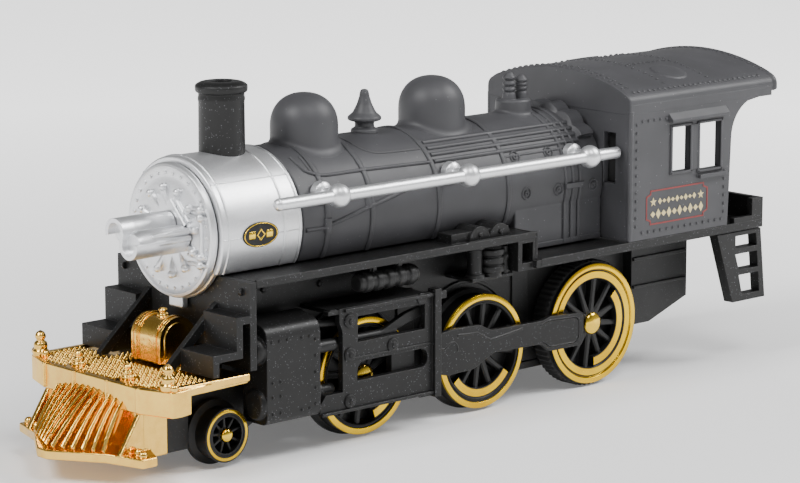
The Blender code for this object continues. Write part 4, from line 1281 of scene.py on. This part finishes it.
@dataclass
class Pilot:
    """The plated pilot with its tread deck, beam, slats, foot and posts, and the lamp behind it."""

    body: str = "chassis"
    deck_top: float = 18.5
    beam_low: float = 13.3
    slats: int = 12
    tread_pitch: float = 1.25

    def build_pilot(self) -> None:
        """The pilot as one casting."""
        low, high = spot("pilot")
        tip, foot_low = high.x, low.z
        deck = mirrored(points((56.4, -19.9), (73.4, -21.2), (75.2, -21.2), (77.4, -14.4)))
        cast = Shell().prism("z", deck, 16.7, self.deck_top - 0.25)
        rim = mirrored(points((70.6, -21.0), (73.4, -21.6), (75.4, -21.4), (77.8, -14.4)))
        cast.prism("z", rim, self.beam_low, self.deck_top - 0.3)
        for side_edge in ((19.2, 20.6), (-20.6, -19.2)):
            cast.box((56.5, 73.5), side_edge, (17.2, self.deck_top + 0.15))
        apron = points((70.4, -13.6), (76.4, -13.6), (77.1, -12.6), (77.1, 12.6), (76.4, 13.6), (70.4, 13.6))
        cast.prism("z", apron, foot_low + 0.1, 17.0)
        foot = mirrored(points((73.6, -12.0), (77.0, -18.9), (80.4, -18.9), (82.7, -11.0), (tip, -1.4)))
        cast.prism("z", foot, foot_low, 6.2)
        for y in (-14.1, -5.0, 5.0, 14.1):
            cast.box((76.9, 78.15), (y - 0.35, y + 0.35), (self.beam_low + 0.2, 18.2))
        for y in (-13.8, 13.8):
            cast.prism("y", points((76.4, 13.4), (77.4, 13.4), (82.2, 6.0), (76.4, 6.0)), y - 0.6, y + 0.6)
        show(cast.to_object("pilot_casting", self.body, GOLD, 0.3), "pilot")
        self.build_slats(tip)
        self.build_posts()
        self.build_tread()

    def build_slats(self, tip: float) -> None:
        """Tapered oval bars that fan out from the beam to the foot.

        Each ring is the spine's point plus width times cosine across and thickness times sine down.
        """
        slats, last = Shell(), (self.slats - 1) / 2
        wide, thick = np.array([0.3, 0.36, 0.4, 0.46]), np.array([0.75, 1.0, 1.05, 0.9])
        ring, bend = arc((0, 0), 1.0, 0, 360, 12)[:-1], Vector((0.12, 0, 0.1))
        across, down = np.outer(ring[:, 0], (0, 1, 0)), np.outer(ring[:, 1], (0.6, 0.0, 0.8))
        for i in range(self.slats):
            share = (i - last) / last
            top = Vector((77.6, 9.6 * share, 15.6 - 1.2 * share * share))
            end = Vector((tip - 1.5 - 4.9 * abs(share), 10.3 * share, 6.1))
            spine = np.array([top, top.lerp(end, 0.34) + bend, top.lerp(end, 0.67) + bend, end])
            rows = spine[:, None] + across[None] * wide[:, None, None]
            slats.loft(rows + down[None] * thick[:, None, None])
        slats.to_object("pilot_slats", self.body, GOLD)

    def build_posts(self) -> None:
        """Two tall and two short turned posts along the beam, and bolts on the foot."""
        posts = Shell()
        for y, high, size in ((19.3, 23.1, 1.45), (7.4, 21.3, 1.1)):
            base, lift = self.deck_top - 0.3, high - self.deck_top
            steps = ((0, 0), (1.05, 0), (1.1, 0.2), (0.85, 0.28), (0.95, 0.42), (0.85, 0.52), (0.5, 0.6))
            ball = ((0.72, 0.72), (0.74, 0.8), (0.5, 0.92), (0, 1.0))
            profile = np.array([(size * r, base + (lift + 0.3) * h) for r, h in steps + ball])
            posts.turned("z", (74.7, y), eased(profile, 0.15), 28)
            for shift in (-1.15, 1.15):
                posts.ball((74.7, y + shift * size, base + 0.6), 0.55 * size, 16)
        for x, y in ((79.2, 17.4), (78.6, 15.4), (80.4, 13.2)):
            posts.ball((x, y, 6.5), 0.9, 16)
        posts.both().to_object("pilot_posts", self.body, GOLD)

    def build_tread(self) -> None:
        """The deck's tread: rows of low four-sided points, left out under whatever stands on it."""
        pitch, base = self.tread_pitch, self.deck_top - 0.26
        x, y = np.meshgrid(np.arange(57.2, 76.4, pitch), np.arange(-18.75, 19.0, pitch))
        lamp = (x < 66.6) & (np.abs(y) < 5.6)
        steps = ((x < 65.4) & (np.abs(y) > 9.2)) | ((x < 69.0) & (np.abs(np.abs(y) - 9.9) < 1.1))
        posts = (x > 73.1) & ((np.abs(y) > 17.4) | (np.abs(np.abs(y) - 7.4) < 1.7))
        kept = ~(lamp | steps | posts) & (np.abs(y) < 19.5 - 2.2 * np.clip(x - 74.0, 0, None))
        centres = np.column_stack([x[kept], y[kept], np.full(kept.sum(), base)])
        corners = points((-1, 0, -0.3), (0, -1, -0.3), (1, 0, -0.3), (0, 1, -0.3), (0, 0, 0.62))
        spread = centres[:, None] + corners[None] * (pitch * 0.62, pitch * 0.62, 1)
        start = np.arange(len(centres))[:, None, None] * len(corners)
        unit = np.array([(0, 1, 4), (1, 2, 4), (2, 3, 4), (3, 0, 4)])
        base_face = start[:, 0] + np.array([[3, 2, 1, 0]])
        faces = (start + unit[None]).reshape(-1, 3).tolist() + base_face.tolist()
        Shell().add(spread, faces).to_object("pilot_tread", self.body, GOLD)

    def build_lamp(self) -> None:
        """The lamp hood between its two pairs of rims, with a turned cap."""
        low, high = spot("headlamp")
        middle, top = (low.x + high.x) / 2, 23.0

        def hood(reach: float) -> np.ndarray:
            """The hood's outline at a reach from its axis."""
            feet = points((middle + reach, low.z), (middle - reach, low.z))
            return np.vstack([feet[:1], arc((middle, top), reach, 0, 180, 32), feet[1:]])

        lamp = Shell().prism("y", hood(3.95), -3.9, 3.9)
        for y, reach in ((-4.0, 4.25), (-2.9, 4.4), (2.9, 4.4), (4.0, 4.25)):
            lamp.prism("y", hood(reach), y - 0.32, y + 0.32)
        lamp.prism("y", hood(3.2), -4.45, 4.45)
        cap = [(0, 26.6), (1.2, 26.6), (1.1, 27.3), (0.6, 27.6), (0.95, 28.0)]
        cap += [(0.6, high.z - 0.1), (0, high.z)]
        lamp.turned("z", (middle, 0), eased(points(*cap), 0.15), 24)
        show(lamp.to_object("lamp_hood", self.body, GOLD, 0.18), "headlamp")

    def build(self) -> None:
        """Builds every piece of it."""
        self.build_pilot()
        self.build_lamp()


@dataclass
class SideGear:
    """Cylinders, guides, pumps and ribbed tanks, the same on both sides."""

    body: str = "chassis"
    cylinder_x: Pair = (38.5, 51.6)
    cylinder_wall: float = 19.5
    guide_wall: Pair = (18.6, 19.6)

    def build_cylinder(self, side: Side) -> None:
        """The cylinder block with its end caps, pipes and rows of rivets."""
        wall = self.cylinder_wall
        foot = [(12.4, 7.5), (18.7, 7.5), (wall, 8.5)]
        head = [(wall, 24.2), (18.6, 26.0), (14.0, 27.2), (12.4, 27.3)]
        cast = Shell().prism("x", rounded(points(*foot, *head), 1.1, 4), *self.cylinder_x)
        cast.box((39.0, 51.0), (9.8, 12.8), (14.0, 26.0))
        for z, size, front in ((21.6, 2.9, 53.5), (11.2, 3.0, 52.6)):
            cap = points((0, 51.0), (size, 51.0), (size, front - 0.75), (size - 0.5, front), (0, front))
            cast.turned("x", (16.4, z), eased(cap, 0.3), 40)
            cast.drum("x", (16.4, z), size * 0.85, (37.9, 39.0), 32)
        cast.drum("x", (17.4, 20.2), 1.25, (33.7, 38.8), 28)
        cast.drum("x", (16.7, 11.6), 1.0, (33.4, 38.8), 24)
        cast.drum("x", (16.7, 11.6), 1.5, (36.6, 38.8), 24)
        cast.to_side(side, "cylinder_casting", self.body, BLACK, 0.15, "cylinder")
        rows = [(x, z) for x in (41.2, 43.1) for z in (23.2, 9.4)]
        rows += [(x, z) for x in (48.3, 50.2) for z in (15.6, 12.8, 9.6)]
        rows += [(x, 23.3) for x in (46.6, 48.5, 50.4)]
        rows += [(39.7, z) for z in np.arange(10.0, 23.0, 3.1)]
        centres = points(*((x, wall, z) for x, z in rows))
        Shell().studs(centres, OUTWARD, 0.32, 0.26).to_side(side, "cylinder_rivets", self.body, BLACK)

    def build_guide(self, side: Side) -> None:
        """The guide plate's bolts and ledges, the crosshead behind it and the valve links."""
        bolts = Shell()
        head = [(0, 18.8), (1.35, 18.8), (1.35, 19.3), (1.0, 19.45), (0.62, 19.5), (0.6, 19.85), (0, 19.95)]
        for centre in ((30.8, 24.5), (30.8, 18.0), (19.8, 18.2), (30.8, 8.9)):
            bolts.turned("y", centre, points(*head), 28)
        bolts.box((8.9, 32.2), self.guide_wall, (26.3, 27.0)).box((9.0, 38.0), self.guide_wall, (7.0, 7.6))
        bolts.box((9.4, 32.0), (18.7, 19.25), (16.9, 17.3))
        bolts.to_side(side, "guide_trim", self.body, BLACK, 0.15)
        motion = Shell().box((12.5, 18.5), (15.6, 17.3), (12.3, 18.6))
        motion.bar((17.0, 16.4, 20.2), (34.0, 16.4, 20.2), 0.9, 4, 16)
        link = points((10.2, 24.2), (14.6, 23.4), (22.0, 20.3), (22.0, 19.0), (13.8, 21.4), (9.8, 22.6))
        motion.prism("y", rounded(link, 0.6), 15.9, 17.1)
        motion.bar((27.0, 16.2, 23.6), (38.5, 16.2, 24.4), 0.7, 4)
        motion.to_side(side, "crosshead", self.body, PLAIN_BLACK, 0.2)

    def build_pump(self, side: Side) -> None:
        """The air pump: a smooth column, a finned drum and a valve on a shelf."""
        pump = Shell().box((-13.6, -2.6), (9.8, 17.8), (27.0, 27.7))
        column = [(0, 27.5), (2.0, 27.5), (2.0, 28.2), (1.5, 28.5)]
        column += [(1.5, 33.1), (2.0, 33.4), (2.0, 33.9), (0, 33.9)]
        pump.turned("z", (-4.8, 16.0), points(*column), 32)
        drum = [(0, 27.4), (2.1, 27.4), (2.1, 28.2)]
        for z in (29.0, 30.7, 32.4):
            drum += [(2.2, z - 0.7), (2.65, z - 0.5), (2.65, z + 0.5), (2.2, z + 0.7)]
        drum += [(2.0, 33.9), (0, 33.9)]
        pump.turned("z", (-8.9, 16.4), eased(points(*drum), 0.15), 36)
        pump.drum("z", (-12.2, 16.8), 0.75, (27.5, 33.2), 16)
        pump.ball((-12.2, 16.8, 31.2), 1.05, 16)
        pump.bar((-12.0, 16.8, 31.0), (-10.6, 16.8, 30.0), 0.5, 3, 10)
        pump.to_side(side, "pump_casting", self.body, BLACK, 0.12, "air_pump")

    def build_cooler(self, side: Side) -> None:
        """The ribbed tank under the board: collars on a drum, hung from two straps."""
        profile = [(0, 11.7), (1.6, 11.7), (1.75, 12.0)]
        for x in (13.6, 16.4, 19.2, 22.0, 24.8):
            profile += [(1.75, x - 0.95), (2.1, x - 0.75), (2.1, x + 0.6), (1.75, x + 0.8)]
        profile += [(1.75, 26.5), (1.5, 26.9), (0, 26.9)]
        tank = Shell().turned("x", (16.4, 30.8), eased(points(*profile), 0.12), 36)
        for x in (15.5, 22.0):
            tank.box((x, x + 1.2), (9.8, 16.4), (31.4, 33.8)).box((x, x + 0.9), (16.1, 17.0), (32.2, 34.0))
        tank.to_side(side, "cooler_casting", self.body, PLAIN_BLACK, 0.1, "ribbed_tank")

    def build(self) -> None:
        """Builds every piece of it on both sides."""
        for side in Side:
            self.build_cylinder(side)
            self.build_guide(side)
            self.build_pump(side)
            self.build_cooler(side)

    def dress(self) -> None:
        """Finishes the guide plates."""
        paint(BLACK, *sides("crosshead_guide"))


@dataclass
class Wheel:
    """A wheel with a rim, spokes, a hub and stamped foil rings, made for the left and mirrored.

    The foil arc and the crescent under it are a middle angle, the angle that they swing to each
    side, and two radii. The crank is how far its boss stands from the axle, or 0 for none, and
    the cap is the radius of the axle's cap.
    """

    name: str
    body: str
    x: float
    z: float
    rim: float
    flange: float
    inner: float
    hub: float
    spokes: int
    rings: tuple[Pair, ...]
    foil_arc: Quad | None = None
    crescent: Quad | None = None
    crank: float = 0.0
    cap: float = 2.2
    back: float = 10.3
    face: float = 15.2

    def finish(self) -> FoilRings:
        """This wheel's foil."""
        return FoilRings(f"foil_{self.name}", "black_plastic", self.x, self.z, self.rings, self.foil_arc)

    def build(self) -> None:
        """Builds the wheel for both sides."""
        face, back, rim, inner = self.face, self.back, self.rim, self.inner
        well = face - 2.6
        seat = self.flange if self.flange > rim else rim - 0.9
        flange = [(seat, back + 0.9), (min(seat, rim - 0.25), back + 1.4)] if seat > rim else []
        outside = [(0, back), (seat, back), *flange, (rim - 0.25, face - 0.9), (rim, face - 0.7)]
        front = [(rim, face - 0.1), (rim - 0.15, face), (rim - 1.15, face), (rim - 1.3, face - 0.28)]
        front += [(rim - 1.55, face - 0.28), (rim - 1.7, face - 0.05), (inner, face - 0.12)]
        middle = [(inner - 0.1, face - 0.35), (inner - 0.15, well), (self.hub, well), (self.hub, face - 0.9)]
        middle += [(self.hub - 0.3, face - 0.55), (0, face - 0.5)]
        profile = points(*outside, *front, *middle)
        for side in Side:
            wheel = Shell().turned("y", (self.x, self.z), profile, 96)
            self.add_spokes(wheel, well)
            if self.crescent:
                self.add_crescent(wheel, *self.crescent)
            if self.crank:
                boss = points((0, well - 0.2), (2.3, well - 0.2), (2.2, face - 0.5), (0, face - 0.5))
                wheel.turned("y", (self.x + self.crank, self.z), boss, 32)
            wheel.to_side(side, f"{self.name}_wheel", self.body, self.finish(), node=self.node)

    @property
    def node(self) -> str:
        """The stem of the wheel's node names."""
        return "pony_wheel" if self.name == "pony" else f"driver_{self.name}"

    def add_spokes(self, wheel: Shell, well: float) -> None:
        """Tapered spokes: each a ring of six points at the hub, part of the way out and at the rim."""
        wide, deep, top = self.inner * 0.052 + 0.1, well - 0.2, self.face - 0.75
        stations = ((self.hub - 0.2, wide * 1.35), (self.inner * 0.6, wide), (self.inner, wide * 1.15))
        for t in np.arange(self.spokes) * TAU / self.spokes + 0.13:
            out, beside = np.array([np.cos(t), 0, np.sin(t)]), np.array([-np.sin(t), 0, np.cos(t)])
            rings = []
            for reach, half in stations:
                cut = [(-half, deep), (half, deep), (half, top - 0.35)]
                cut = points(*cut, (half * 0.55, top), (-half * 0.55, top), (-half, top - 0.35))
                centre = np.array([self.x, 0, self.z]) + out * reach
                rings.append(centre + np.outer(cut[:, 0], beside) + np.outer(cut[:, 1], OUTWARD))
            wheel.loft(np.array(rings))

    def add_crescent(self, wheel: Shell, centre: float, swing: float, low: float, high: float) -> None:
        """A weight plate between two radii, over an angle to each side of its middle."""
        outer = arc((self.x, self.z), high, centre - swing, centre + swing, 20)
        inner = arc((self.x, self.z), low, centre + swing, centre - swing, 20)
        wheel.prism("y", np.vstack([outer, inner]), self.face - 1.6, self.face - 0.3)


@dataclass
class RunningGear:
    """Wheels, tyres, caps and side rods."""

    rear_x: float = -39.4
    rear_z: float = 13.1
    crank: float = 7.8
    ribs: int = 64

    def wheels(self) -> list[Wheel]:
        """The four kinds of wheel."""
        shared = {"z": DRIVER_Z, "rim": 11.5, "flange": 12.1, "inner": 9.6, "hub": 2.5, "spokes": 12}
        shared["rings"] = ((10.3, 11.5),)
        rear_rings = ((11.15, 12.45), (9.45, 10.85))
        foil, plate = (202.0, 64.0, 7.3, 8.9), (202.0, 64.0, 7.1, 9.4)
        drivers = [Wheel("rear", "rear_axle", self.rear_x, self.rear_z, 12.5, 11.6, 9.3, 2.5, 12, rear_rings,
                         foil, plate, self.crank, 2.3)]
        for name, x, angle in (("middle", MIDDLE_X, 270.0), ("front", FRONT_X, 198.0)):
            foil, plate = (angle, 54.0, 7.7, 9.2), (angle, 54.0, 7.5, 9.7)
            drivers.append(Wheel(name, f"{name}_axle", x, foil_arc=foil, crescent=plate, **shared))
        pony = Wheel("pony", "pony_axle", 57.7, 6.15, 5.15, 6.15, 4.05, 1.5, 9, ((4.3, 4.85),), cap=1.35)
        return [*drivers, pony]

    def build_tyres(self) -> None:
        """The ribbed tyres: their radius is the tyre's less 0.3 times a rounded wave of the ribs."""
        turn = np.linspace(0, TAU, 6 * self.ribs, endpoint=False)[:, None]
        wave = np.clip(0.5 + 1.6 * np.sin(self.ribs * turn), 0, 1)
        along = np.array([[10.35, 10.35, 10.6, 13.9, 14.15, 14.15]])
        base = np.array([[11.5, 12.85, 13.08, 13.08, 12.85, 11.5]])
        depth = np.array([[0, 0.1, 0.3, 0.3, 0.1, 0]])
        radius = base - depth * wave
        grid = place("y", self.rear_x + radius * np.cos(turn), self.rear_z + radius * np.sin(turn), along)
        for side in Side:
            tyre = Shell().loft(grid, ring_closed=True)
            tyre.to_side(side, "ribbed_tyre", "rear_axle", RUBBER, node="tyre_rear")

    def build_caps(self) -> None:
        """The domed brass caps on the ends of all four axles: the left one is part of the axle's pin."""
        low, swell = 14.74, 0.15
        turn = np.radians(np.arange(10, 90, 10))
        for wheel in self.wheels():
            size, centre, name = wheel.cap, (wheel.x, wheel.z), wheel.name
            dome = [(0, low - 0.1), (size, low - 0.1), (size, low + swell)]
            dome += [(size * math.cos(t), low + swell + 0.9 * math.sin(t)) for t in turn]
            dome = points(*dome, (0, 15.8))
            pin = Shell().turned("y", centre, dome, 40).drum("y", centre, 1.0, (-13.0, low), 24)
            show(pin.to_object(f"axle_pin_{name}", wheel.body, BRASS), f"axle_{name}")
            cap = Shell().turned("y", centre, dome, 40).on_side(Side.RIGHT)
            show(cap.to_object(f"axle_cap_{name}", wheel.body, BRASS), f"hub_cap_{name}")

    def build_rods(self) -> None:
        """The side rods: a crank boss, a neck and a broad boss, with raised edges and a curl.

        The neck, the end and the raised trace are drawn from the crank pin.
        """
        pin = np.array([self.rear_x + self.crank, self.rear_z])
        back, front = 16.15, 17.25
        raised = front - 0.25
        neck = pin + points((-2.9, -2.6), (-2.3, -3.4), (7.0, -3.3), (9.2, -1.5))
        low = points((-9.0, 11.9), (-3.4, 9.4), (3.6, 9.2), (9.6, 10.9), (9.6, 16.2))
        high = points((5.6, 17.9), (2.2, 18.4), (-5.2, 18.2), (-8.2, 16.7))
        end = pin + points((9.2, 3.3), (6.6, 3.9), (-2.2, 3.4), (-2.9, 2.6))
        outline = np.vstack([neck, low, high, end])
        upper = pin + points((9.6, 2.4), (7.0, 3.1), (-0.6, 2.7), (-1.5, 1.9))
        lower = pin + points((-1.5, -1.6), (-0.6, -2.5), (6.8, -2.4), (9.0, -1.0))
        trace = np.vstack([upper, lower])
        ledge = points((-17.0, 15.7), (-12.5, 15.1), (-8.0, 14.7), (-4.5, 16.6), (1.0, 16.9))
        curl = np.vstack([arc((2.4, 14.2), 1.5, 200, 40, 10), arc((4.7, 16.1), 1.4, 230, 300, 4)])
        hook = eased(points((6.2, 17.2), (8.8, 16.0), (8.8, 12.4), (6.6, 11.0)), 1.2, 5)
        for side in Side:
            rod = Shell().prism("y", rounded(outline, 0.7), back, front)
            rod.drum("y", tuple(pin), 1.15, (12.9, 16.6), 24)
            rod.prism("y", stroke(eased(trace, 0.7, 4), 0.34), raised, 17.36)
            rod.prism("y", stroke(ledge, 0.45), raised, 17.4)
            for path in (curl, hook):
                rod.prism("y", stroke(path, 0.4), raised, 17.42)
            rod.to_side(side, "side_rod_casting", f"{side.word}_rod", BLACK, 0.18, "side_rod")

    def build(self) -> None:
        """Builds every piece of it."""
        for wheel in self.wheels():
            wheel.build()
        self.build_tyres()
        self.build_caps()
        self.build_rods()


@dataclass
class Chassis:
    """The frame, the boards, the bulkhead with its steps, the ladders and the hidden drive."""

    body: str = "chassis"

    def build_boards(self) -> None:
        """Edge strips on the boards, and bolts on the boards and the saddle."""
        edge = Shell().box((-18.5, 54.2), (19.1, 19.8), (34.3, 35.65))
        edge.box((-84.9, -18.6), (20.2, 20.9), (28.6, 30.15)).box((-18.6, -18.0), (12.4, 19.8), (28.2, 35.4))
        edge.both().to_object("board_edges", self.body, BLACK, 0.15)
        upper = points((-4.4, 17.9, 36.4), (-9.9, 17.9, 36.4))
        front = points((44.0, 9.6, 31.0), (30.0, 9.6, 30.2), (56.0, 17.4, 33.3))
        heads = Shell().studs(upper, np.array([0, 1, 0.3]), 0.5, 0.45).studs(front, OUTWARD, 0.7, 0.5)
        heads.both().to_object("board_bolts", self.body, BLACK)

    def build_plates(self) -> None:
        """Ribs and plates on the frame's sides, above and between the wheels."""
        plates = Shell()
        for height in ((23.6, 24.4), (17.8, 18.4)):
            plates.box((-70.5, -54.3), (11.6, 12.5), height)
        for x in (-23.5, 8.0, 40.0):
            plates.box((x - 2.2, x + 2.2), (9.2, 9.85), (9.0, 26.0))
        for x in (MIDDLE_X, FRONT_X):
            plates.prism("y", stroke(arc((x, DRIVER_Z), 13.3, 20, 160, 24), 0.6), 9.2, 10.0)
        plates.both().to_object("frame_plates", self.body, PLAIN_BLACK, 0.12)

    def build(self) -> None:
        """Builds every piece of it."""
        self.build_boards()
        self.build_plates()

    def dress(self) -> None:
        """Finishes every node of the solid model that stays in view."""
        paint(PLAIN_BLACK, "chassis_frame", "chassis_cover")
        paint(BLACK, "footplate", "front_saddle", *sides("ladder"))
        paint(STEEL, "screw_middle", "screw_front")
        paint(NYLON, "axle_pinion", "idler_gear", "great_gear", *sides("motor_case"))
        paint(SPRING, "mainspring")


@dataclass
class Studio:
    """A pale floor, soft lights and the camera."""

    azimuth: float = 137.48
    elevation: float = 10.78
    lens: float = 141.5
    distance: float = 626.0
    target: tuple[float, float, float] = (0.45, 0.0, 33.2)
    lamp_distance: float = 800.0
    lamp_target: float = 30.0
    lamps: tuple[tuple[str, float, float, float, float], ...] = (
        ("key", 88.0, 44.0, 280.0, 5.0),
        ("fill", 236.0, 40.0, 300.0, 5.5),
        ("top", 165.0, 56.0, 250.0, 2.6),
    )
    floor_half: float = 3000.0
    pale: tuple[Pair, ...] = ((0.0, 1.0), (0.2, 0.8), (0.4, 0.3), (0.75, 0.2), (1.0, 0.4))
    pale_strength: float = 0.55

    def aim(self, azimuth: float, elevation: float) -> Vector:
        """The unit direction from the engine towards a place given by two angles in degrees."""
        turn, lift = math.radians(azimuth), math.radians(elevation)
        return Vector((math.sin(turn) * math.cos(lift), -math.cos(turn) * math.cos(lift), math.sin(lift)))

    def add_floor(self) -> None:
        """The floor: a large square whose glow rises away from the engine, so that it is dim round the engine
        as a painted shade.
        """
        mesh = bpy.data.meshes.new("floor")
        half = self.floor_half * MM
        corners = [(-half, -half, 0), (half, -half, 0), (half, half, 0), (-half, half, 0)]
        mesh.from_pydata(corners, [], [(0, 1, 2, 3)])
        floor = bpy.data.objects.new("floor", mesh)
        bpy.context.scene.collection.objects.link(floor)
        graph = Graph("floor_paper")
        # Painted shade: the floor glows dim near the engine and bright far from it.
        far = graph.radius_from_middle().ramp(80.0, 420.0)
        glow_with_painted_shade = graph.tint(far, grey(0.1), grey(1.0))
        graph.set(Base_Color=grey(0.9), Roughness=0.7, Emission_Color=glow_with_painted_shade, Emission_Strength=1.5)
        mesh.materials.append(graph.material)

    def add_light(self, name: str, azimuth: float, elevation: float, size: float, power: float) -> None:
        """A square soft light that faces the engine.

        Args:
            name: Its name.
            azimuth: Its direction, in degrees.
            elevation: Its angle above the floor, in degrees.
            size: Its side.
            power: Its power in watts.
        """
        lamp = bpy.data.lights.new(name, "AREA")
        lamp.energy, lamp.size, lamp.shape = power, size * MM, "SQUARE"
        made = bpy.data.objects.new(name, lamp)
        direction = self.aim(azimuth, elevation)
        made.location = Vector((0, 0, self.lamp_target * MM)) + direction * self.lamp_distance * MM
        made.rotation_euler = direction.to_track_quat("Z", "Y").to_euler()
        bpy.context.scene.collection.objects.link(made)

    def add_world(self) -> None:
        """A pale surrounding whose brightness is a ramp of height: stops of height and brightness."""
        world = bpy.data.worlds.new("studio")
        bpy.context.scene.world = world
        world.use_nodes = True
        tree = world.node_tree
        where = tree.nodes.new("ShaderNodeTexCoord")
        split = tree.nodes.new("ShaderNodeSeparateXYZ")
        ramp = tree.nodes.new("ShaderNodeValToRGB")
        tree.links.new(where.outputs["Generated"], split.inputs[0])
        tree.links.new(split.outputs["Z"], ramp.inputs[0])
        for height, _ in self.pale[2:]:
            ramp.color_ramp.elements.new(height)
        for element, (height, level) in zip(ramp.color_ramp.elements, self.pale):
            element.position, element.color = height, grey(level)
        back = tree.nodes["Background"]
        tree.links.new(ramp.outputs[0], back.inputs["Color"])
        back.inputs["Strength"].default_value = self.pale_strength

    def add_camera(self) -> None:
        """The camera, straight at its target."""
        data = bpy.data.cameras.new("camera")
        data.lens, data.sensor_width = self.lens, 36.0
        data.clip_start, data.clip_end = 0.01, 20.0
        camera = bpy.data.objects.new("camera", data)
        direction = self.aim(self.azimuth, self.elevation)
        camera.location = Vector(self.target) * MM + direction * self.distance * MM
        camera.rotation_euler = direction.to_track_quat("Z", "Y").to_euler()
        bpy.context.scene.collection.objects.link(camera)
        bpy.context.scene.camera = camera

    def build(self) -> None:
        """Sets the whole stage."""
        self.add_floor()
        self.add_world()
        for lamp in self.lamps:
            self.add_light(*lamp)
        self.add_camera()


def main() -> None:
    """Builds and dresses the whole engine and its stage."""
    logging.basicConfig(level=logging.INFO, format="%(message)s")
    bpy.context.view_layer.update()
    Chassis().build()
    Chassis().dress()
    Boiler().build()
    Cab().build()
    Cab().dress()
    Pilot().build()
    SideGear().build()
    SideGear().dress()
    RunningGear().build()
    Studio().build()


if __name__ == "__main__":
    main()
